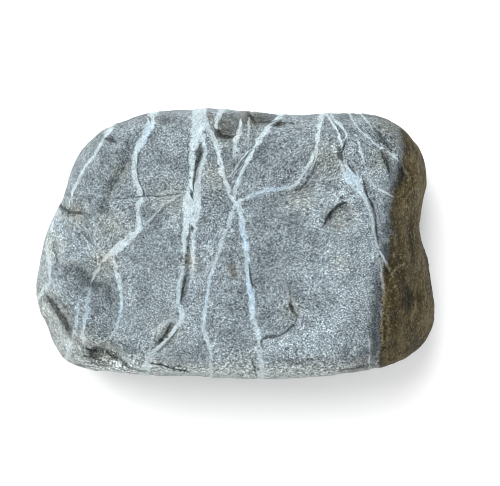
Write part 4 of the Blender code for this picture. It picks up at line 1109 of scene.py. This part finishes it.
# The rock: coloured grains, then what lies over them from the oldest to the newest, then the bump.
def stoneMaterial():
    material = bpy.data.materials.new("veinedStone")
    bench = NodeBench(material)
    fineOut, fine = bench.grains(rock["grainScale"])
    coarseOut, coarse = bench.grains(rock["coarseScale"])
    crumb = bench.grains(rock["crumbScale"])[1]
    mottle = bench.noise(rock["mottleScale"], 5.0, Roughness=0.62)
    patches = bench.noise(rock["patchScale"], 3.0)
    fray = bench.noise(rock["frayScale"], 4.0, Roughness=0.7)
    edges = bench.noise(rock["edgeScale"], 3.0)
    turns = bench.noise(rock["turnScale"], 3.0)
    crumbOffset = bench.math("SUBTRACT", crumb[0], 0.5)
    crumbly = bench.attribute("crumbly")
    worn = bench.attribute("worn")
    warm = bench.attribute("warm")
    paintedLightAndTone = bench.attribute("paintedLightAndTone")

    # Grains: chance shades of small and larger cells, with slow mottling, more contrast where it crumbles,
    # and the tone of the place with its painted light and shade.
    shade = bench.timesPlus(fine[0], rock["fineContrast"], bench.times(coarse[0], rock["coarseContrast"]))
    shade = bench.math("SUBTRACT", shade, rock["darker"])
    slow, broad = rock["mottleContrast"], rock["patchContrast"]
    shade = bench.plus(shade, bench.mapRange(mottle, 0.3, 0.7, -slow, slow))
    shade = bench.plus(shade, bench.mapRange(patches, 0.3, 0.7, -broad, broad))
    shade = bench.timesPlus(bench.times(crumbOffset, rock["crumbContrast"]), crumbly, shade)
    ramp = bench.add("ShaderNodeValToRGB", None, Fac=shade)
    stops = ramp.color_ramp.elements
    darkest, *between, brightest = rock["grainColours"]
    for stop, (position, colour) in zip(stops, (darkest, brightest)):
        stop.position = position
        stop.color = colour
    for position, colour in between:
        stops.new(position).color = colour
    colour = bench.scaled(ramp.outputs["Color"], paintedLightAndTone)

    # Warm edges and hollows, pale bruises on the worn edges, and dark specks.
    colour = bench.tinted(warm, colour, rock["warmTint"])
    bruise = bench.plus(fine[1], bench.times(fray, 0.9))
    bruise = bench.times(bench.mapRange(bruise, 1.0, 1.3), bench.times(worn, rock["bruised"]))
    colour = bench.mixColours(bruise, colour, rock["bruiseColour"])
    speckOut, specks = bench.grains(rock["speckScale"])
    fewest = bench.spread(bench.math("MAXIMUM", worn, crumbly), *rock["fewestSpecks"])
    speckSize = bench.mapRange(specks[0], fewest, 1.0, 0.0, rock["speckSize"], smooth=False)
    speck = bench.mapRange(bench.math("SUBTRACT", speckSize, speckOut), 0.0, 0.08)
    colour = bench.mixColours(bench.times(speck, rock["speckDarkness"]), colour, rock["dirtAndShadeColour"])

    # The brown flank, painted shade and warm bounced light over a partly weathered rind: lumps and fibres
    # that run along it, dark streaks, pale flecks, and an edge that wanders.
    mottleWander, grainWander = rock["flankWander"]
    flankEdge = bench.mapRange(mottle, 0.3, 0.7, -mottleWander, mottleWander)
    flankEdge = bench.plus(bench.attribute("flank"), flankEdge)
    flankEdge = bench.plus(flankEdge, bench.spread(fine[1], -grainWander, grainWander))
    flankShare = bench.mapRange(flankEdge, 0.15, 0.85)
    lump = bench.mapRange(bench.noise(rock["lumpScale"], 5.0), 0.34, 0.68)
    lump = bench.timesPlus(bench.math("SUBTRACT", fine[0], 0.5), rock["fineOnFlank"], lump)
    lump = bench.plus(crumbOffset, lump)
    fibres = bench.noise(rock["fibreScale"], 4.0)
    lump = bench.plus(lump, bench.swing(fibres, 0.3, 0.7, rock["fibreContrast"]))
    brown = bench.mixColours(lump, rock["flankDeep"], rock["flankLight"])
    streak = bench.mapRange(bench.noise(rock["streakScale"], 4.0), 0.36, 0.72)
    brown = bench.mixColours(bench.times(streak, rock["streakDarkness"]), brown, rock["flankDark"])
    fleck = bench.mapRange(crumb[1], rock["fleckFrom"], 1.0, 0.0, rock["fleckShare"])
    brown = bench.scaled(bench.mixColours(fleck, brown, rock["flankFleck"]), paintedLightAndTone)
    colour = bench.mixColours(flankShare, colour, brown)

    # Dirt and painted shade in the hollows, and rust spots.
    hollow = bench.times(bench.attribute("hollow"), rock["hollowDarkness"])
    colour = bench.mixColours(hollow, colour, rock["dirtAndShadeColour"])
    rust = bench.times(bench.attribute("rust"), bench.mapRange(fine[1], 0.2, 0.8, 0.45, 1.0))
    colour = bench.mixColours(rust, colour, rock["rustColour"])

    # Pale lips, partly wear and partly painted highlight, broken by the grain; on the flank in its shade
    # colour.
    noiseWander, grainWander = rock["frayed"]
    frayed = bench.swing(fray, 0.25, 0.75, noiseWander)
    frayed = bench.plus(frayed, bench.spread(fine[2], -grainWander, grainWander))
    lip = linesMask(bench, "lips", frayed, rock["lipSoftness"])
    lip = bench.times(lip, bench.mapRange(fine[0], 0.1, 0.9, 0.15, 1.15))
    lipColour = bench.mixColours(flankShare, rock["lipColour"], rock["flankFleck"])
    colour = bench.mixColours(lip, colour, lipColour)

    # Veins, ragged by grain and noise, brighter and duller by turns, with darker pores in them. They are
    # bluer or creamier by their place, and on the flank fainter, darker and browner with its painted shade
    # and weathered stain.
    noiseWander, grainWander = rock["ragged"]
    ragged = bench.swing(edges, 0.25, 0.75, noiseWander)
    ragged = bench.plus(ragged, bench.spread(fine[2], -grainWander, grainWander))
    vein = linesMask(bench, "veins", ragged, rock["veinSoftness"], rock["veinInset"])
    vein = bench.times(vein, bench.mapRange(turns, 0.30, 0.62, 0.62, 1.0))
    vein = bench.times(vein, bench.mapRange(flankShare, 0.0, 1.0, 1.0, rock["veinOnFlank"]))
    vein = bench.times(vein, bench.mapRange(speck, 0.0, 1.0, 1.0, rock["veinOnSpeck"]))
    pores = bench.plus(fine[1], bench.times(mottle, 0.3))
    veinColour = bench.mixColours(bench.mapRange(pores, 0.08, 0.90), rock["veinShade"], rock["veinColour"])
    veinColour = bench.tinted(bench.attribute("bluer"), veinColour, rock["blueTint"])
    veinColour = bench.tinted(warm, veinColour, rock["creamTint"])
    colour = bench.mixColours(vein, colour, bench.tinted(flankShare, veinColour, rock["flankVeinTint"]))

    # Cracks, dark with old dirt and with painted shade.
    crack = linesMask(bench, "cracks", bench.times(ragged, rock["crumbledEdge"]), rock["crackSoftness"])
    crack = bench.times(crack, bench.mapRange(turns, 0.32, 0.55, 0.72, 1.0))
    crack = bench.times(crack, bench.mapRange(fine[0], 0.45, 1.0, 0.96, 0.70))
    bench.feed(bench.shader.inputs["Base Color"], bench.mixColours(crack, colour, rock["dirtAndShadeColour"]))

    # Sandy bump: rounded grains over a rough ground, specks sunk into it, fibres on the flank, and veins
    # that stand up.
    heights = rock["heights"]
    grainHeight = bench.mapRange(fineOut, 0.0, 0.75, 1.0, 0.0)
    coarseHeight = bench.mapRange(coarseOut, 0.0, 0.8, 1.0, 0.0)
    height = bench.timesPlus(grainHeight, heights["grain"], bench.times(coarseHeight, heights["coarse"]))
    height = bench.timesPlus(fray, heights["fray"], height)
    height = bench.timesPlus(fine[0], heights["chance"], height)
    height = bench.timesPlus(speck, heights["speck"], height)
    height = bench.timesPlus(vein, heights["vein"], height)
    height = bench.timesPlus(bench.times(fibres, flankShare), heights["fibre"], height)
    bump = bench.add("ShaderNodeBump", None, Strength=rock["bumpStrength"], Distance=rock["bumpDistance"],
                     Height=height)
    bench.feed(bench.shader.inputs["Normal"], bump.outputs["Normal"])
    roughLow, roughHigh = rock["roughness"]
    bench.feed(bench.shader.inputs["Roughness"], bench.mapRange(fine[2], 0.0, 1.0, roughLow, roughHigh))
    bench.shader.inputs["Specular IOR Level"].default_value = rock["specular"]
    return material


studio = dict(
    floorColour=(0.96, 0.96, 0.96, 1.0),
    floorHalf=1.5,  # metres
    floorRoughness=0.9,
    worldStrength=0.80,
    keyFrom=(-0.30, 0.55, 0.78),
    keyReach=1.1,
    keySize=1.15,
    keyPower=15.9,
    fillFrom=(0.35, -0.75, 0.55),
    fillPower=2.6,
    filterWidth=1.0,  # pixels that each pixel gathers light from: crisp, as the photograph is
)


def areaLight(name, way, reach, size, power):
    light = bpy.data.lights.new(name, "AREA")
    light.shape = "DISK"
    light.size = size
    light.energy = power
    lamp = bpy.data.objects.new(name, light)
    way = np.array(way) / np.linalg.norm(way)
    lamp.location = way * reach
    lamp.rotation_euler = lamp.location.to_track_quat("Z", "Y").to_euler()
    bpy.context.scene.collection.objects.link(lamp)


def makeStudio():
    half = studio["floorHalf"]
    mesh = bpy.data.meshes.new("floor")
    corners = [(-half, -half, 0), (half, -half, 0), (half, half, 0), (-half, half, 0)]
    mesh.from_pydata(corners, [], [(0, 1, 2, 3)])
    floor = bpy.data.objects.new("floor", mesh)
    bpy.context.scene.collection.objects.link(floor)
    material = bpy.data.materials.new("floor")
    material.use_nodes = True
    shader = material.node_tree.nodes["Principled BSDF"]
    shader.inputs["Base Color"].default_value = studio["floorColour"]
    shader.inputs["Roughness"].default_value = studio["floorRoughness"]
    mesh.materials.append(material)
    world = bpy.data.worlds.new("studio")
    world.use_nodes = True
    world.node_tree.nodes["Background"].inputs["Color"].default_value = (1.0, 1.0, 1.0, 1.0)
    world.node_tree.nodes["Background"].inputs["Strength"].default_value = studio["worldStrength"]
    bpy.context.scene.world = world
    areaLight("key", studio["keyFrom"], studio["keyReach"], studio["keySize"], studio["keyPower"])
    areaLight("fill", studio["fillFrom"], studio["keyReach"], studio["keySize"], studio["fillPower"])
    bpy.context.scene.view_settings.view_transform = "Standard"
    bpy.context.scene.cycles.filter_width = studio["filterWidth"]
    print("studio: floor and lights")


def makeCamera():
    data = bpy.data.cameras.new("photoView")
    data.sensor_width = photo["sensorWidth"]
    data.lens = photo["focalPixels"] / photo["columns"] * photo["sensorWidth"]
    data.clip_start = photo["nearest"]
    camera = bpy.data.objects.new("photoView", data)
    lean = math.radians(photo["leanDegrees"])
    aim = np.array(photo["aim"])
    camera.location = (aim + photo["reach"] * np.array([math.sin(lean), 0.0, math.cos(lean)])) * mm
    camera.rotation_euler = (0.0, lean, 0.0)
    bpy.context.scene.collection.objects.link(camera)
    bpy.context.scene.camera = camera
    print("camera: over the face, leaning", photo["leanDegrees"], "degrees")


makeCamera()
makeStudio()
stone = makeStone()
stone.data.materials.append(stoneMaterial())
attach(stone, "root")
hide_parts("stone")
